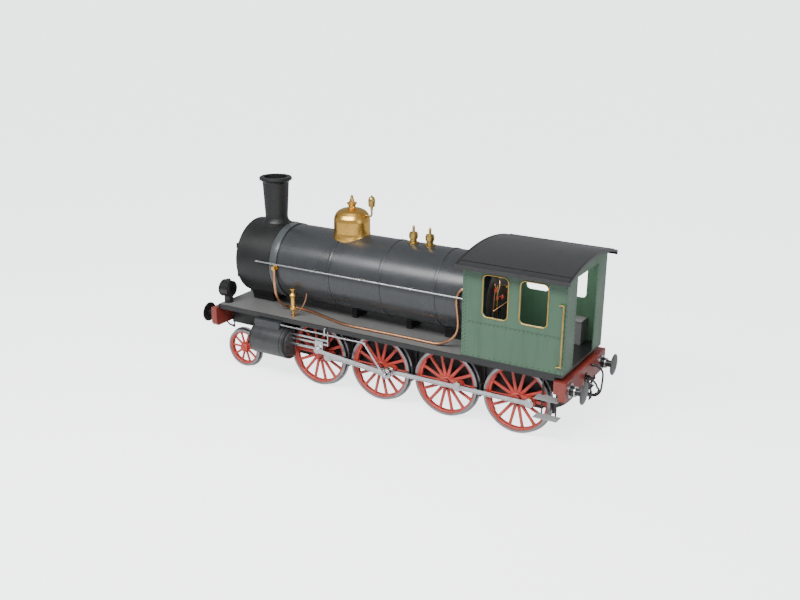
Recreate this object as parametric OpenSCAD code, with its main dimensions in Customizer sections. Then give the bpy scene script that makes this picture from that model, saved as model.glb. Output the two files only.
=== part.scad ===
// Steam locomotive with one leading axle and four coupled axles.
// Millimetres. X points forward to the smokebox, Y to the left, Z up.
// The origin is on the centre line, midway between the buffer faces, at the lowest point of the flanges.

/* [Overall] */
// Length over the buffer faces
length_over_buffers = 9320; // [8000:10:11000]
// Half the width over the buffer beams
beam_half_width = 1132; // [1050:1:1300]
// Length of each buffer from the beam face
buffer_length = 300; // [250:5:420]
// Height of the buffer centres
buffer_height = 1226; // [1050:1:1250]
// Spacing of the buffer centres
buffer_spacing = 1750; // [1700:1:1800]

/* [Wheels] */
// Diameter of the driving wheels on the tread
driver_diameter = 1460; // [1300:2:1470]
// Diameter of the leading wheels on the tread
leader_diameter = 896; // [700:2:920]
// Distance between neighbouring driving axles
driver_spacing = 1600; // [1560:5:1700]
// Position of the first driving axle
first_driver_x = 1580; // [1540:5:1620]
// Position of the leading axle
leader_x = 3703; // [3660:1:3740]
// Height of the wheel flanges
flange_depth = 28; // [24:1:34]
// Distance between the backs of the tyres
back_to_back = 1360; // [1355:1:1365]
// Width of a tyre
tyre_width = 130; // [120:1:140]
// Thickness of a tyre under the tread
tyre_thickness = 56; // [40:1:80]
// Radius of the driving axles
axle_radius = 90; // [75:1:105]
// Radius of the leading axle
leader_axle_radius = 75; // [60:1:85]

/* [Rods] */
// Distance from axle centre to crank pin
crank_throw = 300; // [250:5:310]
// Radius of the crank pins
crank_pin_radius = 55; // [45:1:60]
// Running clearance of every journal
journal_clearance = 0.5; // [0.2:0.1:1]
// Thickness of the rods
rod_thickness = 50; // [40:1:52]
// Depth of the coupling rods
coupling_rod_depth = 100; // [80:1:130]
// Depth of the main rods at the crank
main_rod_depth = 130; // [100:1:150]

/* [Cylinders] */
// Radius of the cylinder cladding
cylinder_radius = 365; // [320:5:370]
// Height of the cylinder centres
cylinder_height = 940; // [900:5:960]
// Distance from the centre line to the cylinder centres
cylinder_offset = 955; // [950:1:965]
// Rear face of the cylinders
cylinder_rear_x = 2160; // [2150:1:2180]
// Front face of the cylinders
cylinder_front_x = 3175; // [3150:5:3300]
// Radius of the piston rods
piston_rod_radius = 35; // [28:1:40]

/* [Boiler] */
// Radius of the boiler cladding
boiler_radius = 840; // [780:5:860]
// Height of the boiler centre line
boiler_height = 2570; // [2540:5:2600]
// Thickness of the boiler bands
band_thickness = 8; // [4:1:14]
// Positions of the boiler bands
band_x = [1295, 10, -1300]; // [-1400:5:1400]
// Radius of the smokebox
smokebox_radius = 865; // [850:5:900]
// Thickness of the smokebox shell
smokebox_wall = 20; // [12:1:30]
// Front of the smokebox
smokebox_front_x = 3785; // [3700:5:3800]
// Back of the smokebox
smokebox_rear_x = 2864; // [2800:1:2900]
// Radius of the smokebox door
door_radius = 570; // [500:5:575]
// Radius of the chimney lip
chimney_lip_radius = 370; // [330:5:420]
// Position of the chimney
chimney_x = 3245; // [3200:5:3300]
// Height of the chimney top
chimney_top = 4455; // [4200:5:4500]
// Radius of the dome
dome_radius = 400; // [360:5:450]
// Height of the dome top
dome_top = 3984; // [3850:2:4050]
// Radius of the handrails
handrail_radius = 16; // [12:1:20]

/* [Deck and cab] */
// Height of the top of the running board
deck_top = 1540; // [1535:1:1560]
// Half the width of the running board
deck_half_width = 1050; // [1000:5:1080]
// Thickness of the deck plate
deck_thickness = 15; // [10:1:18]
// Half the width of the cab
cab_half_width = 1088; // [1070:1:1200]
// Front face of the cab
cab_front_x = -2095; // [-2150:5:-2000]
// Rear face of the cab
cab_rear_x = -4265; // [-4270:5:-4200]
// Thickness of the cab sheets
cab_sheet = 20; // [10:1:24]
// Height of the roof edge
roof_edge_height = 3525; // [3450:5:3600]
// Height of the roof crown
roof_crown_height = 3735; // [3700:5:3850]
// Half the width of the roof
roof_half_width = 1337; // [1250:1:1400]
// Width of the cab rear doorway
doorway_width = 1140; // [700:10:1300]

/* [Hidden] */
$fn = 64;
rail_level = flange_depth;
beam_face = length_over_buffers / 2 - buffer_length;
beam_thickness = 150;
beam_top = 1452;
beam_bottom = 1018;
driver_radius = driver_diameter / 2;
driver_z = rail_level + driver_radius;
leader_radius = leader_diameter / 2;
leader_z = rail_level + leader_radius;
wheel_back = back_to_back / 2;
wheel_face = wheel_back + tyre_width;
driver_x = [for (i = [0 : 3]) first_driver_x - i * driver_spacing];
tyre_seat_gap = 0.3;
frame_outer = 560;
frame_plate = 30;
frame_top = deck_top - deck_thickness;
frame_bottom = 560;
valance = 20;
valance_depth = 90;
coupling_rod_y = 845;
slide_y = cylinder_offset;
main_rod_y = 1010;
link_y = 1115;
link_thickness = 25;
link_pin_radius = 25;
valve_rod_y = 1090;
valve_rod_z = 1370;
valve_rod_end_x = 170;
valve_rod_radius = 18;
crosshead_pin_x = 1460;
crosshead_length = 220;
crosshead_half_width = 45;
bar_half_width = 25;
upper_bar_z = 1155;
lower_bar_z = 1060;
bar_depth = 42;
cylinder_flat = 885;
pony_pivot_x = 2600;
pony_pivot_radius = 45;
seat_gap = 0.3;
roof_radius = (pow(roof_half_width, 2) + pow(roof_crown_height - roof_edge_height, 2))
    / (2 * (roof_crown_height - roof_edge_height));
roof_centre_z = roof_crown_height - roof_radius;
roof_sheet = 30;
roof_front_x = -2030;
roof_rear_x = -4394;
cab_floor_top = 1575;
cab_floor_bottom = deck_top - deck_thickness;
backhead_x = -2480;
window_bottom = 2480;
window_top = 3320;
window_corner = 90;
frame_width = 42;
window_1 = [-3056, -2546];
window_2 = [-3879, -3333];
hinge_x = smokebox_front_x + 75;
hinge_y = 700;
hinge_pin_radius = 14;
hinge_lug_radius = 24;
hinge_lug_half = 28;
hinge_heights = [boiler_height - 340, boiler_height + 340];
band_half_width = 35;
fire_hinge_x = backhead_x - 31;
fire_hinge_y = 222;
fire_pin_radius = 9;
fire_lug_heights = [2090, 2290];
handrail_y = 925;
handrail_z = 2700;
broad_ring = 14;
lubricator_x = 2215;
lubricator_y = 850;
feed_union_x = 2680;
feed_union_y = 900;
feed_union_z = 2600;
pipe_radius = 32;
chimney_bore = 200;
pipe_lie = deck_top + pipe_radius + seat_gap;

black = [0.08, 0.08, 0.09];
grey = [0.45, 0.46, 0.46];
dark = [0.25, 0.26, 0.27];
red = [0.65, 0.25, 0.2];
beam_red = [0.5, 0.2, 0.15];
green = [0.33, 0.44, 0.37];
steel = [0.7, 0.7, 0.72];
brass = [0.75, 0.62, 0.35];
copper = [0.72, 0.5, 0.38];

// Cylinder along X between two stations
module rod_x(x0, x1, r, y, z) {
    translate([x0, y, z])
        rotate([0, 90, 0])
            cylinder(r = r, h = x1 - x0, $fn = r > 300 ? 180 : 64);
}

// Cylinder along Y between two stations
module rod_y(y0, y1, r, x, z) {
    translate([x, y1, z])
        rotate([90, 0, 0])
            cylinder(r = r, h = y1 - y0);
}

// Cylinder along Z between two heights
module rod_z(z0, z1, r, x, y) {
    translate([x, y, z0])
        cylinder(r = r, h = z1 - z0);
}

// Flat tapered bar between two points of the X-Z plane, with its half widths at the two ends
module bar_between(p, q, half_p, half_q, y0, y1) {
    d = (q - p) / norm(q - p);
    n = [-d[1], d[0]];
    translate([0, y1, 0])
        rotate([90, 0, 0])
            linear_extrude(y1 - y0)
                polygon([
                    p + d * 2 - n * half_p,
                    q - d * 3 - n * half_q,
                    q - d * 3 + n * half_q,
                    p + d * 2 + n * half_p
                ]);
}

// Box given by its two corners
module box(a, b) {
    translate(a)
        cube(b - a);
}

// The same shape on the left and on the right
module both_sides() {
    children();
    mirror([0, 1, 0])
        children();
}

// The shape on the left when side is 1, and on the right when it is -1
module on_side(side) {
    if (side > 0)
        children();
    else
        mirror([0, 1, 0])
            children();
}

// Flat outline of a rectangle with round corners
module rounded(x0, x1, y0, y1, r) {
    translate([x0 + r, y0])
        square([x1 - x0 - 2 * r, y1 - y0]);
    translate([x0, y0 + r])
        square([x1 - x0, y1 - y0 - 2 * r]);
    for (x = [x0 + r, x1 - r])
        for (y = [y0 + r, y1 - r])
            translate([x, y])
                circle(r = r);
}

// Round tube along a route that never runs straight sideways
function unit(v) = v / norm(v);
function route_dir(p, i) =
    i == 0 ? unit(p[1] - p[0]) :
    i == len(p) - 1 ? unit(p[i] - p[i - 1]) :
    unit(unit(p[i + 1] - p[i]) + unit(p[i] - p[i - 1]));
module tube(p, r, sides = 10, side = [0, 1, 0]) {
    rings = [
        for (i = [0 : len(p) - 1])
            let (t = route_dir(p, i), n = unit(cross(t, side)), b = cross(n, t))
            for (k = [0 : sides - 1])
                p[i] + r * (cos(360 * k / sides) * n + sin(360 * k / sides) * b)
    ];
    last = (len(p) - 1) * sides;
    polyhedron(
        points = rings,
        faces = concat(
            [[for (k = [0 : sides - 1]) k]],
            [for (i = [0 : len(p) - 2]) for (k = [0 : sides - 1])
                let (a = i * sides + k, b = i * sides + (k + 1) % sides)
                [a, a + sides, b + sides]],
            [for (i = [0 : len(p) - 2]) for (k = [0 : sides - 1])
                let (a = i * sides + k, b = i * sides + (k + 1) % sides)
                [a, b + sides, b]],
            [[for (k = [sides - 1 : -1 : 0]) last + k]]
        ),
        convexity = 8
    );
}

// Points on a smooth curve through the given route
function curve_point(a, b, c, d, t) = 0.5 * (
    2 * b + (c - a) * t + (2 * a - 5 * b + 4 * c - d) * t * t + (3 * b - a - 3 * c + d) * t * t * t
);
function smooth(p, n) = [
    for (i = [0 : len(p) - 2]) for (k = [0 : n - 1])
        curve_point(p[max(i - 1, 0)], p[i], p[i + 1], p[min(i + 2, len(p) - 1)], k / n),
    p[len(p) - 1]
];

// ---------------------------------------------------------------- frame and ends

module axle_hole(x, z, r) {
    rod_y(-frame_outer - 80, frame_outer + 80, r + journal_clearance, x, z);
}

module frame_side() {
    front_notch_x = 3130;
    y0 = frame_outer - frame_plate;
    translate([0, frame_outer, 0])
        rotate([90, 0, 0])
            linear_extrude(frame_plate)
                polygon([
                    [-beam_face + beam_thickness, 1000],
                    [-3900, 1000],
                    [-3700, frame_bottom],
                    [front_notch_x - 130, frame_bottom],
                    [front_notch_x, 700],
                    [front_notch_x + 120, 960],
                    [beam_face - beam_thickness, 960],
                    [beam_face - beam_thickness, frame_top],
                    [-beam_face + beam_thickness, frame_top]
                ]);
    for (x = driver_x)
        box([x - 120, y0 - 30, driver_z - 150], [x + 120, frame_outer + 50, driver_z + 150]);
}

module main_frame() {
    color(black)
        difference() {
            union() {
                both_sides()
                    frame_side();
                for (x = [3950, 2960, 780, -820, -2420, -3900])
                    box([x - 20, -frame_outer + 5, 1010], [x + 20, frame_outer - 5, frame_top]);
                box([pony_pivot_x - 130, -frame_outer + 5, 640], [pony_pivot_x + 130, frame_outer - 5, 700]);
                rod_z(380, 660, pony_pivot_radius, pony_pivot_x, 0);
                rod_z(365, 385, pony_pivot_radius + 25, pony_pivot_x, 0);
            }
            for (x = driver_x)
                axle_hole(x, driver_z, axle_radius);
        }
}

module beam_plate(x0, x1, bottom) {
    translate([x0, 0, 0])
        rotate([90, 0, 90])
            linear_extrude(x1 - x0)
                polygon([
                    [-beam_half_width, bottom + 60],
                    [-beam_half_width + 60, bottom],
                    [beam_half_width - 60, bottom],
                    [beam_half_width, bottom + 60],
                    [beam_half_width, beam_top],
                    [-beam_half_width, beam_top]
                ]);
}

module front_buffer_beam() {
    color(beam_red)
        beam_plate(beam_face - beam_thickness, beam_face, beam_bottom);
}

module rear_buffer_beam() {
    color(beam_red) {
        beam_plate(-beam_face, -beam_face + beam_thickness, beam_bottom);
        for (s = [-1, 1])
            box(
                [-beam_face + beam_thickness, s > 0 ? frame_outer : -beam_half_width, 1190],
                [-beam_face + beam_thickness + 100, s > 0 ? beam_half_width : -frame_outer, beam_top]
            );
    }
}

module buffer() {
    rotate([0, 90, 0]) {
        cylinder(r = 150, h = 22);
        translate([0, 0, 22])
            cylinder(r = 105, h = 110);
        translate([0, 0, 132])
            cylinder(r = 72, h = buffer_length - 132 - 30);
        translate([0, 0, buffer_length - 40])
            rotate_extrude()
                polygon([[0, 0], [190, 0], [225, 12], [225, 26], [150, 36], [60, 40], [0, 40]]);
    }
}

module buffers() {
    color(black)
        both_sides() {
            translate([beam_face, buffer_spacing / 2, buffer_height])
                buffer();
            translate([-beam_face, buffer_spacing / 2, buffer_height])
                rotate([0, 0, 180])
                    buffer();
        }
}

module screw_coupling() {
    box([0, -50, buffer_height - 110], [20, 50, buffer_height + 50]);
    translate([0, 16, 0])
        rotate([90, 0, 0])
            linear_extrude(32)
                polygon([
                    [10, buffer_height - 60], [110, buffer_height - 75], [175, buffer_height - 60],
                    [200, buffer_height - 10], [190, buffer_height + 45], [165, buffer_height + 50],
                    [160, buffer_height + 5], [125, buffer_height - 15], [90, buffer_height + 5],
                    [80, buffer_height + 20], [10, buffer_height + 20]
                ]);
    rod_y(-60, 60, 16, 118, buffer_height - 110);
    both_sides()
        box([106, 46, buffer_height - 230], [130, 60, buffer_height - 100]);
    box([106, -14, buffer_height - 125], [130, 14, buffer_height - 60]);
    rod_y(-72, 72, 20, 118, buffer_height - 232);
    rod_z(buffer_height - 440, buffer_height - 232, 19, 118, 0);
    rod_y(-72, 72, 20, 118, buffer_height - 350);
    both_sides()
        rod_z(buffer_height - 460, buffer_height - 350, 14, 118, 52);
    rod_y(-72, 72, 15, 118, buffer_height - 464);
}

module screw_couplings() {
    color(black) {
        translate([beam_face, 0, 0])
            screw_coupling();
        translate([-beam_face, 0, 0])
            rotate([0, 0, 180])
                screw_coupling();
    }
}

// Brake hoses hang in a loop from an elbow on the beam to a dummy bracket below it
hose_radius = 21;
hose_union_radius = 30;
hose_start = 60;
rear_short_route = [
    [-4420, 90, 1215], [-4450, 90, 1215], [-4515, 88, 1202], [-4570, 80, 1165], [-4607, 64, 1110],
    [-4620, 34, 1045], [-4621, -15, 1007], [-4620, -64, 970], [-4607, -94, 905], [-4570, -110, 850],
    [-4515, -118, 813], [-4450, -120, 800], [-4420, -120, 800]
];
rear_long_route = [
    [-4420, -290, 1360], [-4450, -290, 1360], [-4515, -289, 1347], [-4570, -287, 1310],
    [-4607, -283, 1255], [-4620, -276, 1190], [-4624, -264, 1121], [-4625, -250, 1052],
    [-4624, -235, 984], [-4620, -221, 915], [-4607, -208, 850], [-4570, -200, 795],
    [-4515, -196, 758], [-4450, -195, 745], [-4420, -195, 745]
];
front_route = [
    [4420, 330, 1150], [4450, 330, 1150], [4515, 330, 1137], [4570, 330, 1100], [4607, 329, 1045],
    [4620, 327, 980], [4621, 323, 950], [4620, 319, 920], [4607, 317, 855], [4570, 316, 800],
    [4515, 315, 763], [4450, 315, 750], [4420, 315, 750]
];

module rear_hose_left() {
    color(black)
        tube(smooth(rear_short_route, 2), hose_radius);
}

module rear_hose_right() {
    color(black)
        tube(smooth(rear_long_route, 2), hose_radius);
}

module front_hose_left() {
    color(black)
        tube(smooth(front_route, 2), hose_radius);
}

module front_hose_right() {
    mirror([0, 1, 0])
        front_hose_left();
}

// Elbow at the top of a hose and the bracket that holds its loose end, for a beam facing +X
module hose_fitting(top, end) {
    rod_x(beam_face, beam_face + hose_start - 30, 22, top[0], top[1]);
    rod_x(beam_face + hose_start - 30, beam_face + hose_start, hose_union_radius, top[0], top[1]);
    box([beam_face, end[0] - 16, end[1] - 34], [beam_face + 16, end[0] + 16, beam_bottom + 80]);
    rod_x(beam_face + 10, beam_face + hose_start, 30, end[0], end[1]);
}

// Y and Z of a hose's two ends
function first_end(p) = [p[0][1], p[0][2]];
function last_end(p) = [p[len(p) - 1][1], p[len(p) - 1][2]];

module hose_fittings() {
    color(black) {
        both_sides()
            hose_fitting(first_end(front_route), last_end(front_route));
        mirror([1, 0, 0]) {
            hose_fitting(first_end(rear_short_route), last_end(rear_short_route));
            hose_fitting(first_end(rear_long_route), last_end(rear_long_route));
        }
    }
}

// ---------------------------------------------------------------- deck

module running_board() {
    color(grey)
        box([cab_front_x, -deck_half_width + valance, frame_top],
            [beam_face - beam_thickness, deck_half_width - valance, deck_top]);
}

module deck_side_plates() {
    color(black)
        both_sides()
            box([cab_front_x, deck_half_width - valance, frame_top - valance_depth],
                [beam_face - beam_thickness, deck_half_width, deck_top]);
}

module headlamp() {
    rod_z(deck_top, deck_top + 160, 100, 4100, 0);
    rod_x(3995, 4210, 190, 0, 1870);
    rod_x(4210, 4225, 198, 0, 1870);
    translate([3995, 0, 1870])
        rotate([0, -90, 0])
            cylinder(r1 = 185, r2 = 120, h = 30);
    rod_z(2040, 2095, 55, 4090, 0);
}

module headlamps() {
    color(black)
        both_sides()
            translate([0, 800, 0])
                headlamp();
}

// ---------------------------------------------------------------- boiler

module smokebox() {
    color(black) {
        difference() {
            rod_x(smokebox_rear_x, smokebox_front_x, smokebox_radius, 0, boiler_height);
            rod_x(smokebox_rear_x - 1, smokebox_front_x - smokebox_wall, smokebox_radius - smokebox_wall,
                0, boiler_height);
            rod_x(smokebox_front_x - smokebox_wall - 1, smokebox_front_x + 1, door_radius - 50,
                0, boiler_height);
            rod_z(boiler_height, boiler_height + smokebox_radius + 50, chimney_bore, chimney_x, 0);
        }
        for (z = hinge_heights) {
            rod_z(z - 58, z + 58, hinge_pin_radius, hinge_x, hinge_y);
            for (s = [-1, 1])
                box([smokebox_front_x - 1, hinge_y - 18, z + s * 46 - 12],
                    [hinge_x + 18, hinge_y + 18, z + s * 46 + 12]);
        }
    }
}

module smokebox_saddle() {
    color(black)
        difference() {
            translate([3200, 0, 0])
                rotate([90, 0, 90])
                    linear_extrude(600)
                        polygon([
                            [-240, deck_top], [240, deck_top], [250, deck_top + 90],
                            [430, 2000], [-430, 2000], [-250, deck_top + 90]
                        ]);
            rod_x(3100, 3900, smokebox_radius + seat_gap, 0, boiler_height);
        }
}

module smokebox_door() {
    x = smokebox_front_x;
    color(black) {
        translate([x + seat_gap, 0, boiler_height])
            rotate([0, 90, 0])
                rotate_extrude()
                    polygon([
                        [0, 0], [door_radius, 0], [door_radius, 16], [door_radius - 45, 34],
                        [420, 66], [280, 92], [120, 106], [0, 110]
                    ]);
        rod_x(x + 100, x + 150, 45, 0, boiler_height);
        rod_x(x + 140, x + 175, 16, 0, boiler_height);
        for (a = [30, -60])
            translate([x + 155, 0, boiler_height])
                rotate([a, 0, 0])
                    box([-10, -9, 0], [10, 9, 200]);
        for (z = hinge_heights)
            difference() {
                union() {
                    box([x + 25, 250, z - hinge_lug_half], [hinge_x + 22, 520, z + hinge_lug_half]);
                    box([hinge_x - 22, 500, z - hinge_lug_half],
                        [hinge_x + 22, hinge_y - 5, z + hinge_lug_half]);
                    rod_z(z - hinge_lug_half, z + hinge_lug_half, hinge_lug_radius, hinge_x, hinge_y);
                }
                rod_z(z - 40, z + 40, hinge_pin_radius + journal_clearance, hinge_x, hinge_y);
            }
    }
}

module chimney() {
    x = chimney_x;
    color(black)
        difference() {
            translate([x, 0, 0])
                rotate_extrude()
                    polygon([
                        [0, boiler_height + 700], [385, boiler_height + 700], [385, 3362], [350, 3388],
                        [305, 3420], [275, 3462], [260, 3510], [257, 3560],
                        [chimney_lip_radius - 70, chimney_top - 130],
                        [chimney_lip_radius - 58, chimney_top - 100],
                        [chimney_lip_radius, chimney_top - 60], [chimney_lip_radius, chimney_top - 20],
                        [chimney_lip_radius - 20, chimney_top], [0, chimney_top]
                    ]);
            rod_x(2000, 4500, smokebox_radius + seat_gap, 0, boiler_height);
            translate([x, 0, 0])
                rotate_extrude()
                    polygon([
                        [0, 3000], [chimney_bore, 3000], [chimney_bore, 3450],
                        [chimney_bore + 60, chimney_top + 1], [0, chimney_top + 1]
                    ]);
        }
}

module boiler_barrel() {
    front = smokebox_rear_x;
    color(dark) {
        rod_x(backhead_x, front, boiler_radius, 0, boiler_height);
        rod_x(front - 210, front, boiler_radius + broad_ring, 0, boiler_height);
        for (x = band_x)
            rod_x(x - band_half_width, x + band_half_width, boiler_radius + band_thickness, 0, boiler_height);
        rod_z(fire_lug_heights[0] - 32, fire_lug_heights[1] + 32, fire_pin_radius,
            fire_hinge_x, fire_hinge_y);
        for (z = [fire_lug_heights[0] + 24, fire_lug_heights[1] - 42])
            box([fire_hinge_x - 12, fire_hinge_y - 12, z], [backhead_x + 1, fire_hinge_y + 12, z + 18]);
    }
}

module firebox_casing() {
    color(black)
        difference() {
            union() {
                box([cab_front_x + 20, -240, deck_top], [-1290, 240, 2200]);
                for (x = [1000, -400])
                    box([x - 60, -220, deck_top], [x + 60, 220, 2200]);
            }
            rod_x(-2500, 3000, boiler_radius + seat_gap, 0, boiler_height);
            rod_x(band_x[2] - band_half_width - 5, band_x[2] + band_half_width + 5,
                boiler_radius + band_thickness + seat_gap, 0, boiler_height);
        }
}

// The dome and the valve on its crown, grown outwards by a margin
module dome_body(grow) {
    r = dome_radius + grow;
    t = dome_top + grow;
    translate([1190, 0, 0])
        rotate_extrude()
            polygon([
                [0, 3000], [r + 25, 3000], [r + 25, 3345], [r + 8, 3400], [r, 3460], [r, t - 270],
                [r - 12, t - 195], [r - 45, t - 125], [r - 98, t - 70], [r - 170, t - 32],
                [r - 270, t - 8], [88, t], [78, t + 40], [82, t + 55], [112, t + 90], [112, t + 112],
                [62, t + 125], [48, t + 190], [34, t + 205], [34, t + 262], [16, t + 275], [0, t + 275]
            ]);
}

module dome() {
    color(brass)
        difference() {
            dome_body(0);
            rod_x(0, 2500, boiler_radius + seat_gap, 0, boiler_height);
            rod_x(band_x[0] - band_half_width - 5, band_x[0] + band_half_width + 5,
                boiler_radius + band_thickness + seat_gap, 0, boiler_height);
        }
}

module whistle() {
    bend = 40;
    color(brass) {
        translate([684, 0, 0])
            rotate_extrude()
                polygon([
                    [0, 3990], [30, 3990], [34, 4060], [72, 4070], [72, 4110], [60, 4112], [60, 4125],
                    [76, 4127], [78, 4190], [72, 4240], [52, 4275], [20, 4290], [12, 4320], [0, 4320]
                ]);
        rod_z(3850 + bend, 4000, 22, 684, 0);
        translate([684 + bend, 0, 3850 + bend])
            rotate([90, 0, 0])
                rotate([0, 0, 180])
                    rotate_extrude(angle = 90)
                        translate([bend, 0])
                            circle(r = 22);
        difference() {
            rod_x(684 + bend, 1190 - dome_radius + 80, 22, 0, 3850);
            dome_body(seat_gap);
        }
    }
}

module safety_valve() {
    rotate_extrude()
        polygon([
            [0, 3390], [120, 3390], [120, 3425], [75, 3440], [75, 3500], [95, 3520], [100, 3600],
            [88, 3610], [88, 3640], [40, 3650], [30, 3660], [30, 3760], [18, 3790], [0, 3790]
        ]);
}

module safety_valves() {
    color(brass)
        difference() {
            for (x = [-360, -755])
                translate([x, 0, 0])
                    safety_valve();
            rod_x(-2000, 1000, boiler_radius + seat_gap, 0, boiler_height);
        }
}

module boiler_handrails() {
    color(steel)
        both_sides()
            difference() {
                union() {
                    rod_x(cab_front_x, 3180, handrail_radius, handrail_y, handrail_z);
                    for (x = [3120, 1640, 410, -820]) {
                        rod_y(780, handrail_y, 13, x, handrail_z);
                        rod_x(x - 22, x + 22, 26, handrail_y, handrail_z);
                    }
                }
                rod_x(-2500, smokebox_rear_x, boiler_radius + seat_gap, 0, boiler_height);
                rod_x(smokebox_rear_x - 10, 4000, smokebox_radius + seat_gap, 0, boiler_height);
            }
}

module lubricator() {
    translate([lubricator_x, lubricator_y, 0])
        rotate_extrude()
            polygon([
                [0, deck_top], [50, deck_top], [50, 1556], [24, 1566], [24, 1660], [60, 1680], [72, 1720],
                [70, 1760], [52, 1800], [50, 1930], [60, 1990], [80, 2030], [80, 2050], [58, 2080],
                [30, 2105], [26, 2140], [68, 2165], [68, 2190], [0, 2190]
            ]);
}

// Boss on the broad ring of the boiler that the feed pipe hangs from
module feed_union() {
    difference() {
        union() {
            rod_y(800, feed_union_y + 48, 44, feed_union_x, feed_union_z);
            rod_y(800, 862, 62, feed_union_x, feed_union_z);
            rod_z(feed_union_z - 62, feed_union_z - 10, 36, feed_union_x, feed_union_y);
        }
        rod_x(2500, 2900, boiler_radius + broad_ring + seat_gap, 0, boiler_height);
    }
}

module boiler_side_fittings() {
    color(brass)
        both_sides() {
            lubricator();
            feed_union();
        }
}

// Feed pipes run from the boiler bosses down to the deck, back along it and up again to the cab front
feed_route = [
    [feed_union_x, feed_union_y, feed_union_z - 62 - seat_gap],
    [feed_union_x, feed_union_y, feed_union_z - 120], [feed_union_x, feed_union_y, feed_union_z - 180],
    [2684, 885, 2200], [2686, 835, 1970], [2670, 730, 1780], [2635, 595, 1640], [2580, 450, pipe_lie + 12],
    [2500, 395, pipe_lie], [2300, 400, pipe_lie], [1900, 480, pipe_lie], [1530, 600, pipe_lie],
    [1100, 730, pipe_lie], [740, 795, pipe_lie], [110, 790, pipe_lie], [-500, 785, pipe_lie],
    [-1040, 784, pipe_lie], [-1340, 785, pipe_lie], [-1500, 787, pipe_lie + 38],
    [-1640, 791, pipe_lie + 115], [-1760, 797, 1785], [-1845, 806, 1910], [-1884, 818, 2060],
    [-1890, 840, 2220], [-1884, 864, 2380], [-1876, 882, 2500], [-1872, 886, 2600], [-1878, 873, 2700],
    [-1900, 855, 2785], [-1945, 842, 2845], [-2000, 836, 2872], [-2040, 836, 2875], [-2070, 836, 2875],
    [cab_front_x + seat_gap, 836, 2875]
];

module copper_pipes() {
    color(copper)
        both_sides()
            tube(
                [for (p = smooth(feed_route, 3)) [p[0], p[1], max(p[2], pipe_lie)]],
                pipe_radius, 8, [0.3, 1, 0.1]
            );
}

// ---------------------------------------------------------------- cylinders and motion

module cylinder_side() {
    z = cylinder_height;
    difference() {
        union() {
            rod_x(cylinder_rear_x + 45, cylinder_front_x - 45, cylinder_radius, slide_y, z);
            rod_x(cylinder_rear_x, cylinder_front_x, cylinder_radius - 55, slide_y, z);
            box([2420, cylinder_flat, 1200], [cylinder_front_x - 90, 1140, 1420]);
            rod_x(2400, cylinder_front_x - 70, 95, 1045, 1330);
        }
        box([2000, 0, 0], [3600, cylinder_flat, 2000]);
        rod_x(cylinder_rear_x - 1, cylinder_rear_x + 960, piston_rod_radius + journal_clearance, slide_y, z);
        rod_x(2300, 3050, valve_rod_radius + seat_gap, valve_rod_y, valve_rod_z);
    }
    box([2430, frame_outer, 760], [cylinder_front_x - 100, cylinder_flat, 1400]);
}

module cylinders() {
    color(dark)
        both_sides()
            cylinder_side();
}

module slide_bar_set() {
    for (z = [upper_bar_z, lower_bar_z])
        box([1215, slide_y - bar_half_width, z], [cylinder_rear_x, slide_y + bar_half_width, z + bar_depth]);
    box([1195, slide_y - 35, lower_bar_z - 5], [1215, slide_y + 35, frame_top]);
}

module slide_bars() {
    color(steel)
        both_sides()
            slide_bar_set();
}

module valve_rod(end_x) {
    rod_x(end_x, end_x + 2330, valve_rod_radius, valve_rod_y, valve_rod_z);
    rod_y(valve_rod_y - 18, valve_rod_y + 18, 34, end_x, valve_rod_z);
    box([1190, deck_half_width + 2, 1340], [1220, valve_rod_y + 22, frame_top - 30]);
    box([1190, deck_half_width, 1440], [1220, valve_rod_y, frame_top - 5]);
}

module valve_rods() {
    color(steel)
        for (side = [1, -1])
            on_side(side)
                valve_rod(side > 0 ? link_eye_left[0] : link_eye_right[0]);
}

module crosshead() {
    z = cylinder_height;
    y = slide_y;
    w = crosshead_half_width;
    x0 = crosshead_pin_x - 130;
    x1 = crosshead_pin_x + 80;
    box([x0, y - w, z - 75], [x1, y + w, lower_bar_z - 6]);
    for (s = [-1, 1])
        box([x0, y + s * (w - 7) - 7, lower_bar_z - 20], [x1, y + s * (w - 7) + 7, upper_bar_z - 6]);
    box([x0, y - w, lower_bar_z + bar_depth + 6], [x1, y + w, upper_bar_z - 6]);
    rod_x(x1 - 5, cylinder_rear_x + 110, piston_rod_radius, y, z);
    rod_x(x1 - 5, x1 + 10, 48, y, z);
    rod_y(y + w - 1, y + w + 5, 50, crosshead_pin_x, z);
}

module crosshead_left() {
    color(steel)
        crosshead();
}

module crosshead_right() {
    color(steel)
        translate([main_eye_right[0] - main_eye_left[0], 0, 0])
            mirror([0, 1, 0])
                crosshead();
}

// Crank pin of an axle: the left cranks point back and the right ones up
function crank_left(x) = [x - crank_throw, driver_z];
function crank_right(x) = [x, driver_z + crank_throw];

// Where the far eye of a rod of this length comes to lie at the given height
function reach(pin, length, z) = [pin[0] + sqrt(pow(length, 2) - pow(z - pin[1], 2)), z];
main_eye_left = [crosshead_pin_x, cylinder_height];
main_eye_right = reach(
    crank_right(driver_x[1]), norm(main_eye_left - crank_left(driver_x[1])), cylinder_height
);
link_eye_left = [valve_rod_end_x, valve_rod_z];
link_eye_right = reach(
    crank_right(driver_x[1]), norm(link_eye_left - crank_left(driver_x[1])), valve_rod_z
);

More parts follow.
